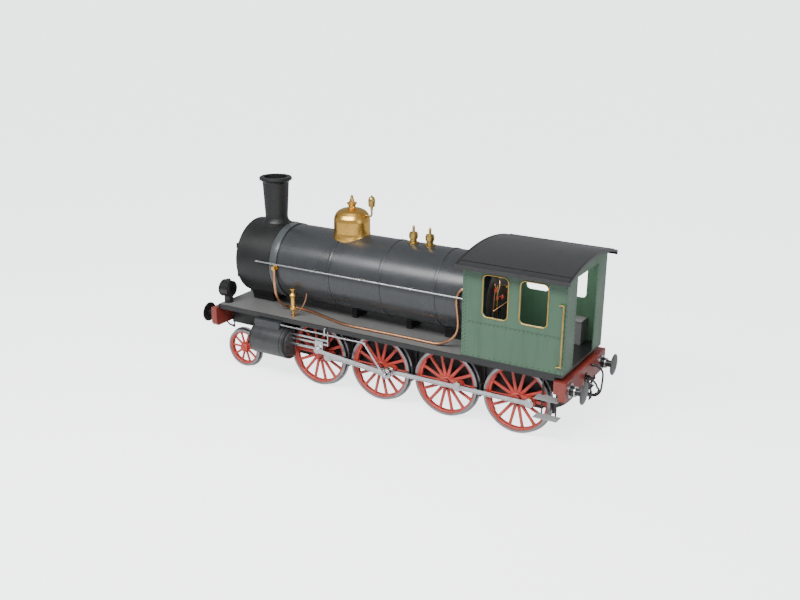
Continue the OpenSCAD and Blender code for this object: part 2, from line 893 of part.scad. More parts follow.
module coupling_rod(pins) {
    r = crank_pin_radius;
    difference() {
        union() {
            box([pins[3][0], coupling_rod_y, pins[0][1] - coupling_rod_depth / 2],
                [pins[0][0], coupling_rod_y + rod_thickness, pins[0][1] + coupling_rod_depth / 2]);
            for (p = pins)
                rod_y(coupling_rod_y, coupling_rod_y + rod_thickness, r + 45, p[0], p[1]);
        }
        for (p = pins)
            rod_y(coupling_rod_y - 1, coupling_rod_y + rod_thickness + 1, r + journal_clearance, p[0], p[1]);
    }
}

module coupling_rod_left() {
    color(steel)
        coupling_rod([for (x = driver_x) crank_left(x)]);
}

module coupling_rod_right() {
    color(steel)
        mirror([0, 1, 0])
            coupling_rod([for (x = driver_x) crank_right(x)]);
}

module main_rod(pin, eye) {
    r = crank_pin_radius;
    y0 = main_rod_y;
    y1 = main_rod_y + rod_thickness;
    difference() {
        union() {
            bar_between(pin, eye, main_rod_depth / 2, 45, y0, y1);
            rod_y(y0, y1, r + 55, pin[0], pin[1]);
            rod_y(y0, y1, 80, eye[0], eye[1]);
            rod_y(y1 - 5, y1 + 8, 40, eye[0], eye[1]);
        }
        rod_y(y0 - 1, y1 + 1, r + journal_clearance, pin[0], pin[1]);
    }
}

module main_rod_left() {
    color(steel)
        main_rod(crank_left(driver_x[1]), main_eye_left);
}

module main_rod_right() {
    color(steel)
        mirror([0, 1, 0])
            main_rod(crank_right(driver_x[1]), main_eye_right);
}

module valve_link(pin, eye) {
    y0 = link_y;
    y1 = link_y + link_thickness;
    difference() {
        union() {
            bar_between(pin, eye, 24, 20, y0, y1);
            rod_y(y0, y1, 48, pin[0], pin[1]);
            rod_y(y0, y1, 34, eye[0], eye[1]);
        }
        rod_y(y0 - 1, y1 + 1, link_pin_radius + journal_clearance, pin[0], pin[1]);
    }
}

module valve_link_left() {
    color(steel)
        valve_link(crank_left(driver_x[1]), link_eye_left);
}

module valve_link_right() {
    color(steel)
        mirror([0, 1, 0])
            valve_link(crank_right(driver_x[1]), link_eye_right);
}

// ---------------------------------------------------------------- wheels

// Flat outline of a wheel centre, with its spokes, rim and hub
module spokes_outline(r, n, hub, wide, narrow) {
    difference() {
        circle(r = r);
        circle(r = r - 62);
    }
    for (k = [0 : n - 1])
        rotate([0, 0, 360 * (k + 0.5) / n])
            polygon([
                [hub - 25, -wide / 2], [r - 40, -narrow / 2], [r - 40, narrow / 2], [hub - 25, wide / 2]
            ]);
    circle(r = hub - 20);
}

module wheel_centre(r, n, hub, face) {
    rim = tyre_width - 14;
    rotate([90, 0, 0]) {
        translate([0, 0, -rim / 2])
            linear_extrude(rim)
                difference() {
                    circle(r = r);
                    circle(r = r - 58);
                }
        translate([0, 0, -28])
            linear_extrude(56)
                spokes_outline(r - 10, n, hub, hub * 0.42, hub * 0.30);
        translate([0, 0, -face])
            cylinder(r = hub, h = face + tyre_width / 2);
    }
}

module driving_wheel_centre(side) {
    r = driver_radius - tyre_thickness - tyre_seat_gap;
    y = (wheel_back + wheel_face) / 2;
    face = tyre_width / 2 + 20;
    pin_angle = side > 0 ? 180 : 90;
    on_side(side)
        translate([0, y, 0]) {
            wheel_centre(r, 14, 140, face);
            rotate([0, -pin_angle, 0])
                rotate([90, 0, 0]) {
                    translate([crank_throw, 0, -face])
                        cylinder(r = 115, h = face + 34);
                    translate([0, 0, -face])
                        linear_extrude(face + 31)
                            polygon([[20, -122], [crank_throw, -98], [crank_throw, 98], [20, 122]]);
                    translate([0, 0, -48])
                        linear_extrude(84)
                            difference() {
                                circle(r = r - 30);
                                translate([390, 0, 0])
                                    circle(r = 850);
                            }
                }
        }
}

module crank_pin(axle, side) {
    long = axle == 1;
    p = side > 0 ? [-crank_throw, 0] : [0, crank_throw];
    on_side(side) {
        rod_y(wheel_back + 40, long ? main_rod_y + rod_thickness + 2 : coupling_rod_y + rod_thickness + 2,
            crank_pin_radius, p[0], p[1]);
        if (long) {
            rod_y(coupling_rod_y + rod_thickness + 3, main_rod_y - 3, crank_pin_radius + 15, p[0], p[1]);
            rod_y(main_rod_y + rod_thickness + 2, main_rod_y + rod_thickness + 14, crank_pin_radius + 18,
                p[0], p[1]);
            rod_y(main_rod_y + rod_thickness + 2, link_y + link_thickness + 2, link_pin_radius, p[0], p[1]);
            rod_y(link_y + link_thickness + 2, link_y + link_thickness + 12, 38, p[0], p[1]);
        } else {
            rod_y(coupling_rod_y + rod_thickness + 2, coupling_rod_y + rod_thickness + 10,
                crank_pin_radius + 18, p[0], p[1]);
        }
    }
}

module driving_wheelset(axle) {
    translate([driver_x[axle], 0, driver_z])
        color(red) {
            rod_y(-wheel_back - 60, wheel_back + 60, axle_radius, 0, 0);
            driving_wheel_centre(1);
            driving_wheel_centre(-1);
            crank_pin(axle, 1);
            crank_pin(axle, -1);
        }
}

module tyre(r) {
    inner = r - tyre_thickness;
    rotate([-90, 0, 0])
        rotate_extrude()
            polygon([
                [inner, 0], [r + flange_depth - 8, 0], [r + flange_depth, 8], [r + flange_depth, 20],
                [r + 6, 34], [r, 42], [r, tyre_width - 8], [r - 6, tyre_width], [inner, tyre_width]
            ]);
}

module tyre_pair(r, x, z) {
    color(steel)
        both_sides()
            translate([x, wheel_back, z])
                tyre(r);
}

module driving_wheelset_1() {
    driving_wheelset(0);
}

module driving_wheelset_2() {
    driving_wheelset(1);
}

module driving_wheelset_3() {
    driving_wheelset(2);
}

module driving_wheelset_4() {
    driving_wheelset(3);
}

module driving_tyres_1() {
    tyre_pair(driver_radius, driver_x[0], driver_z);
}

module driving_tyres_2() {
    tyre_pair(driver_radius, driver_x[1], driver_z);
}

module driving_tyres_3() {
    tyre_pair(driver_radius, driver_x[2], driver_z);
}

module driving_tyres_4() {
    tyre_pair(driver_radius, driver_x[3], driver_z);
}

module leading_wheelset() {
    r = leader_radius - tyre_thickness - tyre_seat_gap;
    y = (wheel_back + wheel_face) / 2;
    translate([leader_x, 0, leader_z])
        color(red) {
            rod_y(-wheel_back - 60, wheel_back + 60, leader_axle_radius, 0, 0);
            both_sides()
                translate([0, y, 0])
                    wheel_centre(r, 10, 105, tyre_width / 2 + 12);
        }
}

module leading_tyres() {
    tyre_pair(leader_radius, leader_x, leader_z);
}

module pony_truck() {
    z = leader_z;
    color(black)
        difference() {
            union() {
                both_sides() {
                    box([leader_x - 130, 420, z - 110], [leader_x + 130, 520, z + 110]);
                    translate([0, 0, z - 40])
                        linear_extrude(80)
                            polygon([
                                [leader_x - 100, 420], [leader_x - 100, 500],
                                [pony_pivot_x, 90], [pony_pivot_x, 20]
                            ]);
                }
                box([leader_x - 125, -430, z - 40], [leader_x - 90, 430, z + 40]);
                rod_z(z - 45, z + 45, 110, pony_pivot_x, 0);
            }
            rod_y(-600, 600, leader_axle_radius + journal_clearance, leader_x, z);
            rod_z(0, 900, pony_pivot_radius + journal_clearance, pony_pivot_x, 0);
        }
}

module brake_gear() {
    z = driver_z;
    color(black)
        both_sides()
            for (x = driver_x) {
                back = x - driver_radius - flange_depth;
                box([back - 50, 700, z - 140], [back - 12, 790, z + 140]);
                box([back - 46, 590, z - 12], [back - 20, 720, z + 18]);
                box([back - 46, 590, z - 60], [back - 20, 610, frame_top]);
            }
}

// ---------------------------------------------------------------- cab

function roof_z(y, drop) = roof_centre_z + sqrt(pow(roof_radius - drop, 2) - y * y);

module cab_floor() {
    color(black) {
        box([cab_rear_x, -cab_half_width, cab_floor_bottom], [cab_front_x, cab_half_width, cab_floor_top]);
        both_sides()
            box([-beam_face + beam_thickness + 105, cab_half_width - 22, cab_floor_bottom - 85],
                [cab_front_x, cab_half_width, cab_floor_bottom]);
    }
}

module window_hole(x) {
    translate([0, cab_half_width + 10, 0])
        rotate([90, 0, 0])
            linear_extrude(cab_sheet + 20)
                rounded(x[0], x[1], window_bottom, window_top, window_corner);
}

module cab_side() {
    difference() {
        box([cab_rear_x, cab_half_width - cab_sheet, cab_floor_top],
            [cab_front_x, cab_half_width, roof_z(cab_half_width, roof_sheet + seat_gap)]);
        window_hole(window_1);
        window_hole(window_2);
    }
}

module cab_side_left() {
    color(green)
        cab_side();
}

module cab_side_right() {
    color(green)
        mirror([0, 1, 0])
            cab_side();
}

// Cross section inside the cab sides, up to the roof
module cab_section() {
    w = cab_half_width - cab_sheet;
    intersection() {
        translate([-w, cab_floor_top])
            square([2 * w, 3000]);
        translate([0, roof_centre_z])
            circle(r = roof_radius - roof_sheet - seat_gap, $fn = 200);
    }
}

module cab_front() {
    color(green)
        difference() {
            translate([cab_front_x - cab_sheet, 0, 0])
                rotate([90, 0, 90])
                    linear_extrude(cab_sheet)
                        cab_section();
            rod_x(cab_front_x - 100, cab_front_x + 100, boiler_radius + 5, 0, boiler_height);
            both_sides()
                translate([cab_front_x - 100, 0, 0])
                    rotate([90, 0, 90])
                        linear_extrude(200)
                            translate([925, 3180])
                                circle(r = 105);
        }
}

module cab_rear() {
    color(green)
        difference() {
            translate([cab_rear_x, 0, 0])
                rotate([90, 0, 90])
                    linear_extrude(cab_sheet)
                        cab_section();
            box([cab_rear_x - 100, -doorway_width / 2, 0], [cab_rear_x + 100, doorway_width / 2, 3420]);
        }
}

module cab_roof() {
    color(dark) {
        translate([roof_rear_x, 0, 0])
            rotate([90, 0, 90])
                linear_extrude(roof_front_x - roof_rear_x)
                    difference() {
                        intersection() {
                            translate([0, roof_centre_z])
                                circle(r = roof_radius, $fn = 200);
                            translate([-roof_half_width, roof_edge_height - 40])
                                square([2 * roof_half_width, 2000]);
                        }
                        translate([0, roof_centre_z])
                            circle(r = roof_radius - roof_sheet, $fn = 200);
                    }
        both_sides()
            box([roof_rear_x, roof_half_width - 25, roof_edge_height - 85],
                [roof_front_x, roof_half_width, roof_edge_height - 10]);
    }
}

module window_frame(x) {
    translate([0, cab_half_width + 12, 0])
        rotate([90, 0, 0])
            linear_extrude(12)
                difference() {
                    rounded(x[0] - frame_width, x[1] + frame_width, window_bottom - frame_width,
                        window_top + frame_width, window_corner + frame_width);
                    rounded(x[0], x[1], window_bottom, window_top, window_corner);
                }
}

module cab_window_frames() {
    color(brass)
        both_sides() {
            window_frame(window_1);
            window_frame(window_2);
        }
}

module cab_handrails() {
    y = cab_half_width + 55;
    x = -4226;
    hook = 75;
    color(brass)
        both_sides() {
            rod_z(1742, 3008, 16, x, y);
            for (z = [1760, 2990]) {
                rod_x(x, x + hook, 13, y, z);
                rod_y(cab_half_width, y + 17, 16, x + hook, z);
            }
        }
}

module cab_steps() {
    color(grey)
        both_sides() {
            for (z = [1000, 600])
                box([-4197, 840, z - 10], [-3697, 1090, z]);
            for (x = [-4104, -3810])
                box([x, 840, 590], [x + 44, 855, cab_floor_bottom]);
        }
}

module cab_seats() {
    color(grey)
        both_sides()
            box([-3950, 700, cab_floor_top], [-3350, cab_half_width - cab_sheet - 5, 2050]);
}

module backhead_fittings() {
    x = backhead_x;
    color(brass) {
        for (y = [-260, 60, 330])
            rod_x(x - 70, x, 75, y, 3130);
        for (y = [-430, 430]) {
            rod_z(2450, 2950, 16, x - 60, y);
            rod_x(x - 70, x, 12, y, 2500);
            rod_x(x - 70, x, 12, y, 2900);
        }
        rod_x(x - 90, x, 22, 0, 2800);
        rod_y(-300, 100, 18, x - 90, 2800);
    }
}

module firehole_door() {
    x = fire_hinge_x;
    y = fire_hinge_y;
    color(black)
        difference() {
            union() {
                box([x - 15, -200, 2020], [x + 15, y - 42, 2360]);
                for (z = fire_lug_heights) {
                    box([x - 15, y - 43, z - 20], [x + 15, y, z + 20]);
                    rod_z(z - 20, z + 20, 18, x, y);
                }
            }
            for (z = fire_lug_heights)
                rod_z(z - 30, z + 30, fire_pin_radius + journal_clearance, x, y);
        }
}

main_frame();
front_buffer_beam();
rear_buffer_beam();
buffers();
screw_couplings();
running_board();
deck_side_plates();
smokebox();
smokebox_saddle();
chimney();
boiler_barrel();
firebox_casing();
backhead_fittings();
dome();
whistle();
safety_valves();
boiler_handrails();
boiler_side_fittings();
copper_pipes();
cylinders();
slide_bars();
valve_rods();
cab_floor();
cab_front();
cab_side_left();
cab_side_right();
cab_rear();
cab_roof();
cab_window_frames();
cab_handrails();
cab_steps();
cab_seats();
headlamps();
brake_gear();
hose_fittings();
rear_hose_left();
rear_hose_right();
front_hose_left();
front_hose_right();
smokebox_door();
firehole_door();
driving_wheelset_1();
driving_wheelset_2();
driving_wheelset_3();
driving_wheelset_4();
driving_tyres_1();
driving_tyres_2();
driving_tyres_3();
driving_tyres_4();
leading_wheelset();
leading_tyres();
pony_truck();
coupling_rod_left();
coupling_rod_right();
main_rod_left();
main_rod_right();
valve_link_left();
valve_link_right();
crosshead_left();
crosshead_right();
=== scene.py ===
# %% [markdown]
# # A steam locomotive, finished in Blender
# The engine was drawn elsewhere as a set of exact solids. This lesson dresses it:
# it loads those solids as a fixed frame, gives every surface a finish made from nodes, and adds
# what is too small or too soft for the drawing, such as rivets, ribbed hoses and gauge dials.
# Lengths are metres. +X is the front of the engine, +Y its left side and +Z up.

# %% Load the frame
import math
import bmesh
import bpy
from mathutils import Matrix, Vector


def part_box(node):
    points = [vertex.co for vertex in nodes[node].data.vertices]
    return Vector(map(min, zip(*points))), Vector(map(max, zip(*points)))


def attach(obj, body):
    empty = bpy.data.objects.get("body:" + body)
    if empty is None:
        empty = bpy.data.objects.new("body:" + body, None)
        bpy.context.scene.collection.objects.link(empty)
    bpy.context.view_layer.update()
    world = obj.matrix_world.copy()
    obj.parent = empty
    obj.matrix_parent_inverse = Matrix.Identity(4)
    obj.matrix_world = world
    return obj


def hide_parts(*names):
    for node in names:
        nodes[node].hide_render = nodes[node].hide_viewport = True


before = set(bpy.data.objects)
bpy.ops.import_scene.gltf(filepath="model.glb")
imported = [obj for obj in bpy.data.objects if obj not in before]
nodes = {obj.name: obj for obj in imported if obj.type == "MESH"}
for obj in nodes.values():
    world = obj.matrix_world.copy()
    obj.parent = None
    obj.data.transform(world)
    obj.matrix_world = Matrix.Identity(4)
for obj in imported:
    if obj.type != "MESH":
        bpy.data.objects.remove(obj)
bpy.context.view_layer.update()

# %% [markdown]
# ## The camera
# It stands behind the left rear corner of the engine, well above the roof, and looks down by
# eighteen degrees. Its matrix is built from three directions: right, up and backwards.

# %% Place the camera
YAW, PITCH, ROLL = math.radians(-59.928), math.radians(-18.18), math.radians(0.54)
CAMERA_PLACE = (-10.360, 17.819, 8.836)
SENSOR_WIDTH, LENS = 36.0, 44.6895


def shown(name, data):
    """A new object for this data, put in the scene."""
    made = bpy.data.objects.new(name, data)
    bpy.context.scene.collection.objects.link(made)
    return made


def camera_matrix(place):
    ahead = Vector((math.cos(PITCH) * math.cos(YAW), math.cos(PITCH) * math.sin(YAW), math.sin(PITCH)))
    flat = Vector((math.sin(YAW), -math.cos(YAW), 0.0))
    rise = flat.cross(ahead)
    right = flat * math.cos(ROLL) + rise * math.sin(ROLL)
    up = rise * math.cos(ROLL) - flat * math.sin(ROLL)
    turn = Matrix((right, up, -ahead)).transposed().to_4x4()
    return Matrix.Translation(place) @ turn


camera_data = bpy.data.cameras.new("camera")
camera_data.sensor_width = SENSOR_WIDTH
camera_data.lens = LENS
camera_data.clip_end = 2000.0
camera = shown("camera", camera_data)
camera.matrix_world = camera_matrix(CAMERA_PLACE)
bpy.context.scene.camera = camera
print("lens", round(camera_data.lens, 2), "mm")

# %% [markdown]
# ## Meshes from plain lists
# Most pieces start as lists of corners and faces. These helpers turn the lists into an object
# that sits at the origin, with its place in its mesh, and make its faces point outwards.

# %% Helpers that make a mesh
def new_object(name, corners, faces, smooth=True, kinds=None):
    """An object at the origin. kinds gives each face its place among the object's materials."""
    mesh = bpy.data.meshes.new(name)
    mesh.from_pydata([tuple(c) for c in corners], [], faces)
    if kinds:
        mesh.polygons.foreach_set("material_index", kinds)
    shape = bmesh.new()
    shape.from_mesh(mesh)
    bmesh.ops.remove_doubles(shape, verts=shape.verts, dist=1e-5)
    bmesh.ops.recalc_face_normals(shape, faces=shape.faces)
    shape.to_mesh(mesh)
    shape.free()
    mesh.polygons.foreach_set("use_smooth", [smooth] * len(mesh.polygons))
    return shown(name, mesh)


def smooth_by_angle(made, degrees=35.0):
    """Shades the piece smooth, with a crisp edge wherever two faces meet at more than this."""
    mesh = made.data
    shape = bmesh.new()
    shape.from_mesh(mesh)
    for face in shape.faces:
        face.smooth = True
    for edge in shape.edges:
        edge.smooth = len(edge.link_faces) == 2 and edge.calc_face_angle(0.0) < math.radians(degrees)
    shape.to_mesh(mesh)
    shape.free()
    return made


def join_lists(parts):
    """Joins several (corners, faces) pairs into one."""
    corners, faces = [], []
    for some, more in parts:
        start = len(corners)
        corners.extend(some)
        faces.extend([tuple(i + start for i in f) for f in more])
    return corners, faces


def lathe(profile, steps=48, centre=(0, 0, 0), axis="Z", arc=2 * math.pi):
    """Corners and faces of a profile of (radius, height) pairs turned about an axis."""
    corners, faces = [], []
    closed = arc > 6.28
    turns = steps if closed else steps + 1
    for k in range(turns):
        a = arc * k / steps
        for r, h in profile:
            x, y = r * math.cos(a), r * math.sin(a)
            point = {"Z": (x, y, h), "X": (h, x, y), "Y": (y, h, x)}[axis]
            corners.append(tuple(p + c for p, c in zip(point, centre)))
    n = len(profile)
    for k in range(steps):
        a, b = k * n, (k + 1) % turns * n
        for i in range(n - 1):
            faces.append((a + i, b + i, b + i + 1, a + i + 1))
    return corners, faces


def skin(rings, sides, closed=False):
    """Faces between rings of corners. A skin that isn't closed into a loop is capped at both ends."""
    faces = []
    for i in range(rings if closed else rings - 1):
        a, b = i * sides, (i + 1) % rings * sides
        for k in range(sides):
            after = (k + 1) % sides
            faces.append((a + k, a + after, b + after, b + k))
    if not closed:
        faces += [tuple(range(sides)), tuple(range((rings - 1) * sides, rings * sides))]
    return faces


def block(low, high):
    """Corners and faces of a box."""
    (x0, y0, z0), (x1, y1, z1) = low, high
    corners = [(x, y, z) for x in (x0, x1) for y in (y0, y1) for z in (z0, z1)]
    faces = [(0, 1, 3, 2), (4, 6, 7, 5), (0, 4, 5, 1), (2, 3, 7, 6), (0, 2, 6, 4), (1, 5, 7, 3)]
    return corners, faces


def slab(outline, low, high, axis="Y"):
    """Corners and faces of a flat outline given a thickness along an axis."""
    def place(u, v, w):
        return {"Y": (u, w, v), "X": (w, u, v), "Z": (u, v, w)}[axis]
    n = len(outline)
    corners = [place(u, v, low) for u, v in outline] + [place(u, v, high) for u, v in outline]
    faces = [tuple(range(n)), tuple(range(2 * n - 1, n - 1, -1))]
    faces += [(i, (i + 1) % n, (i + 1) % n + n, i + n) for i in range(n)]
    return corners, faces


def bevelled(made, width=0.004, segments=2, degrees=40.0):
    """Rounds the sharp edges of a piece."""
    shape = bmesh.new()
    shape.from_mesh(made.data)
    sharp = [e for e in shape.edges if len(e.link_faces) == 2
             and e.calc_face_angle(0.0) > math.radians(degrees)]
    bmesh.ops.bevel(shape, geom=sharp, offset=width, offset_type="OFFSET", segments=segments,
                    profile=0.5, affect="EDGES", clamp_overlap=True)
    shape.to_mesh(made.data)
    shape.free()
    return smooth_by_angle(made, 30.0)


def mirrored(parts):
    """The same shapes on both sides of the engine."""
    corners, faces = join_lists(parts)
    other = [(x, -y, z) for x, y, z in corners]
    return join_lists([(corners, faces), (other, [tuple(reversed(f)) for f in faces])])


print("mesh helpers ready")

# %% Helpers for routes and tubes
def curve_point(a, b, c, d, t):
    return 0.5 * (2 * b + (c - a) * t + (2 * a - 5 * b + 4 * c - d) * t * t
                  + (3 * b - a - 3 * c + d) * t ** 3)


def smooth_route(points, n):
    """A smooth curve through the points, with n steps between neighbours."""
    p = [Vector(q) for q in points]
    last = len(p) - 1
    route = []
    for i in range(last):
        for k in range(n):
            route.append(curve_point(p[max(i - 1, 0)], p[i], p[i + 1], p[min(i + 2, last)], k / n))
    route.append(p[last])
    return route


def tube(route, radius, sides=12, ripple=0.0):
    """Corners and faces of a closed round tube along a route, with an optional ribbed skin."""
    corners = []
    side = None
    for i, p in enumerate(route):
        ahead = (route[min(i + 1, len(route) - 1)] - route[max(i - 1, 0)]).normalized()
        if side is None:
            side = ahead.orthogonal().normalized()
        side = (side - ahead * side.dot(ahead)).normalized()
        over = ahead.cross(side)
        r = radius - (ripple if i % 2 else 0.0)
        for k in range(sides):
            a = 2 * math.pi * k / sides
            corners.append(p + side * (r * math.cos(a)) + over * (r * math.sin(a)))
    return corners, skin(len(route), sides)


print("route helpers ready")

# %% [markdown]
# ## The four brake hoses
# Each hose is 0.65 to 0.88 m of stiff ribbed rubber, 42 mm thick. It leaves its
# elbow straight, falls in one loop and goes into the bracket that holds its loose end. The route
# is the drawing's own, so the finished hose hides the plain tube and lies in the same place.

# %% Make the hoses
HOSE_RADIUS = 0.021
HOSE_ROUTES = {
    "rear_hose_left": [
        (-4.420, 0.090, 1.215), (-4.450, 0.090, 1.215), (-4.515, 0.088, 1.202), (-4.570, 0.080, 1.165),
        (-4.607, 0.064, 1.110), (-4.620, 0.034, 1.045), (-4.621, -0.015, 1.007),
        (-4.620, -0.064, 0.970), (-4.607, -0.094, 0.905), (-4.570, -0.110, 0.850),
        (-4.515, -0.118, 0.813), (-4.450, -0.120, 0.800), (-4.420, -0.120, 0.800)],
    "rear_hose_right": [
        (-4.420, -0.290, 1.360), (-4.450, -0.290, 1.360), (-4.515, -0.289, 1.347),
        (-4.570, -0.287, 1.310), (-4.607, -0.283, 1.255), (-4.620, -0.276, 1.190),
        (-4.624, -0.264, 1.121), (-4.625, -0.250, 1.052), (-4.624, -0.235, 0.984),
        (-4.620, -0.221, 0.915), (-4.607, -0.208, 0.850), (-4.570, -0.200, 0.795),
        (-4.515, -0.196, 0.758), (-4.450, -0.195, 0.745), (-4.420, -0.195, 0.745)],
    "front_hose_left": [
        (4.420, 0.330, 1.150), (4.450, 0.330, 1.150), (4.515, 0.330, 1.137), (4.570, 0.330, 1.100),
        (4.607, 0.329, 1.045), (4.620, 0.327, 0.980), (4.621, 0.323, 0.950), (4.620, 0.319, 0.920),
        (4.607, 0.317, 0.855), (4.570, 0.316, 0.800), (4.515, 0.315, 0.763), (4.450, 0.315, 0.750),
        (4.420, 0.315, 0.750)]}
HOSE_ROUTES["front_hose_right"] = [(x, -y, z) for x, y, z in HOSE_ROUTES["front_hose_left"]]
hoses = {}
for hose_name, points in HOSE_ROUTES.items():
    route = smooth_route(points, 10)
    made = new_object(hose_name + "_ribbed", *tube(route, HOSE_RADIUS, 16, 0.0014))
    hoses[hose_name] = made
    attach(made, "locomotive")
    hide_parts(hose_name)

# %% [markdown]
# ## Floor and light
# A very wide pale floor fills the view from above. The sky is a darker grey than the floor, so a
# low camera sees a line where they meet. A soft high sun lights
# everything alike. The floor glows a little where it is seen directly, which keeps it clean
# white without lighting the engine from below. One long lamp above the left side draws the
# bright line on the boiler's shoulder, a small one lights the inside of the cab, and one behind
# the cab keeps the rear beam from going dark.

# %% Make the floor and the lamps
FLOOR_GLOW = 2.6
FLOOR_REACH = 900
SKY_STRENGTH = 0.42
SUN_STRENGTH, SUN_SPREAD = 0.9, math.radians(50)


def plain_material(name, colour, roughness):
    made = bpy.data.materials.new(name)
    made.use_nodes = True
    shader = made.node_tree.nodes["Principled BSDF"]
    shader.inputs["Base Color"].default_value = (*colour, 1.0)
    shader.inputs["Roughness"].default_value = roughness
    return made


floor = new_object("floor", *block((-FLOOR_REACH, -FLOOR_REACH, -0.02), (FLOOR_REACH, FLOOR_REACH, 0.0)),
                   smooth=False)
pale = plain_material("pale_floor", (0.84, 0.85, 0.87), 1.0)
light_path = pale.node_tree.nodes.new("ShaderNodeLightPath")
glow = pale.node_tree.nodes.new("ShaderNodeMath")
glow.operation = "MULTIPLY"
glow.inputs[1].default_value = FLOOR_GLOW
pale.node_tree.links.new(light_path.outputs["Is Camera Ray"], glow.inputs[0])
shader = pale.node_tree.nodes["Principled BSDF"]
shader.inputs["Emission Color"].default_value = (0.95, 0.97, 1.0, 1.0)
pale.node_tree.links.new(glow.outputs[0], shader.inputs["Emission Strength"])
floor.data.materials.append(pale)

world = bpy.data.worlds.new("studio_sky")
bpy.context.scene.world = world
world.use_nodes = True
sky = world.node_tree.nodes["Background"]
sky.inputs["Color"].default_value = (0.96, 0.98, 1.0, 1.0)
sky.inputs["Strength"].default_value = SKY_STRENGTH


def soft_lamp(name, place, target, size, power):
    data = bpy.data.lights.new(name, "AREA")
    data.shape = "RECTANGLE"
    data.size, data.size_y = size
    data.energy = power
    lamp = shown(name, data)
    lamp.location = place
    lamp.rotation_mode = "QUATERNION"
    lamp.rotation_quaternion = (Vector(target) - Vector(place)).to_track_quat("-Z", "Y")


soft_lamp("shoulder", (0.5, 11, 13), (0, 0, 2), (18, 4.5), 3600)
soft_lamp("cab_inside", (-3.45, 0, 3.45), (-3.35, 0, 1.6), (1.4, 1.2), 45)
soft_lamp("rear", (-15, 3, 7), (-2, 0, 1.5), (6, 4), 350)
sun_data = bpy.data.lights.new("high_sun", "SUN")
sun_data.energy = SUN_STRENGTH
sun_data.angle = SUN_SPREAD
sun = shown("high_sun", sun_data)
sun.rotation_euler = (math.radians(-28), math.radians(-14), 0)

# %% [markdown]
# ## Shared effects
# Paint on an engine is never one flat colour: it fades in patches, rain draws streaks down it,
# and dust gathers low down. These effects are node groups, built once and placed in each
# material with its own values. They read Object coordinates, so a pattern keeps its real size.

# %% Helpers that build node trees
def grow_tree(tree):
    """A function that adds a node to this tree, and links or types in its inputs."""
    def add(kind, inputs=None, **settings):
        node = tree.nodes.new(kind)
        for key, value in settings.items():
            setattr(node, key, value)
        for key, value in (inputs or {}).items():
            if isinstance(value, bpy.types.NodeSocket):
                tree.links.new(value, node.inputs[key])
            else:
                node.inputs[key].default_value = value
        return node
    return add


def new_group(name, inputs, outputs):
    group = bpy.data.node_groups.new(name, "ShaderNodeTree")
    for label, kind, value in inputs:
        socket = group.interface.new_socket(name=label, in_out="INPUT", socket_type=kind)
        socket.default_value = value
    for label, kind in outputs:
        group.interface.new_socket(name=label, in_out="OUTPUT", socket_type=kind)
    start = group.nodes.new("NodeGroupInput")
    end = group.nodes.new("NodeGroupOutput")
    return group, start, end


COLOUR, NUMBER = "NodeSocketColor", "NodeSocketFloat"
print("tree helpers ready")

# %% Paint that fades, streaks and gathers dust
weathered, start, end = new_group(
    "weathered_coat",
    [("Colour", COLOUR, (0.1, 0.1, 0.1, 1)), ("Dust Colour", COLOUR, (0.2, 0.18, 0.15, 1)),
     ("Patch Size", NUMBER, 1.5), ("Fade", NUMBER, 0.3), ("Streaks", NUMBER, 0.3),
     ("Dust", NUMBER, 0.2), ("Dust Height", NUMBER, 1.2), ("Roughness", NUMBER, 0.4),
     ("Grain", NUMBER, 160.0)],
    [("Colour", COLOUR), ("Roughness", NUMBER), ("Height", NUMBER)])
add = grow_tree(weathered)
where = add("ShaderNodeTexCoord").outputs["Object"]
patches = add("ShaderNodeTexNoise", {"Vector": where, "Scale": start.outputs["Patch Size"], "Detail": 5.0})
flow = add("ShaderNodeMapping", {"Vector": where, "Scale": (9.0, 9.0, 0.7)})
streaks = add("ShaderNodeTexNoise", {"Vector": flow.outputs[0], "Scale": 1.0, "Detail": 6.0})
grain = add("ShaderNodeTexNoise", {"Vector": where, "Scale": start.outputs["Grain"], "Detail": 3.0})
patch_mask = add("ShaderNodeMapRange", {0: patches.outputs["Fac"], 1: 0.35, 2: 0.7, 3: 0.0, 4: 1.0})
streak_mask = add("ShaderNodeMapRange", {0: streaks.outputs["Fac"], 1: 0.48, 2: 0.68, 3: 0.0, 4: 1.0})
faded = add("ShaderNodeMath", {0: patch_mask.outputs[0], 1: start.outputs["Fade"]}, operation="MULTIPLY")
lighter = add("ShaderNodeHueSaturation", {"Color": start.outputs["Colour"], "Saturation": 0.85, "Value": 1.35})
first = add("ShaderNodeMix", {0: faded.outputs[0], 6: start.outputs["Colour"], 7: lighter.outputs[0]},
            data_type="RGBA")
streaked = add("ShaderNodeMath", {0: streak_mask.outputs[0], 1: start.outputs["Streaks"]}, operation="MULTIPLY")
darker = add("ShaderNodeHueSaturation", {"Color": start.outputs["Colour"], "Value": 0.6})
second = add("ShaderNodeMix", {0: streaked.outputs[0], 6: first.outputs[2], 7: darker.outputs[0]},
             data_type="RGBA")
height = add("ShaderNodeSeparateXYZ", {0: where}).outputs["Z"]
low_down = add("ShaderNodeMapRange", {0: height, 1: start.outputs["Dust Height"], 2: 0.1, 3: 0.12, 4: 1.0})
speckle = add("ShaderNodeTexNoise", {"Vector": where, "Scale": 11.0, "Detail": 9.0, "Roughness": 0.7})
speckled = add("ShaderNodeMapRange", {0: speckle.outputs["Fac"], 1: 0.38, 2: 0.68, 3: 0.0, 4: 1.0})
dusty = add("ShaderNodeMath", {0: low_down.outputs[0], 1: speckled.outputs[0]}, operation="MULTIPLY")
dust_mask = add("ShaderNodeMath", {0: dusty.outputs[0], 1: start.outputs["Dust"]}, operation="MULTIPLY",
                use_clamp=True)
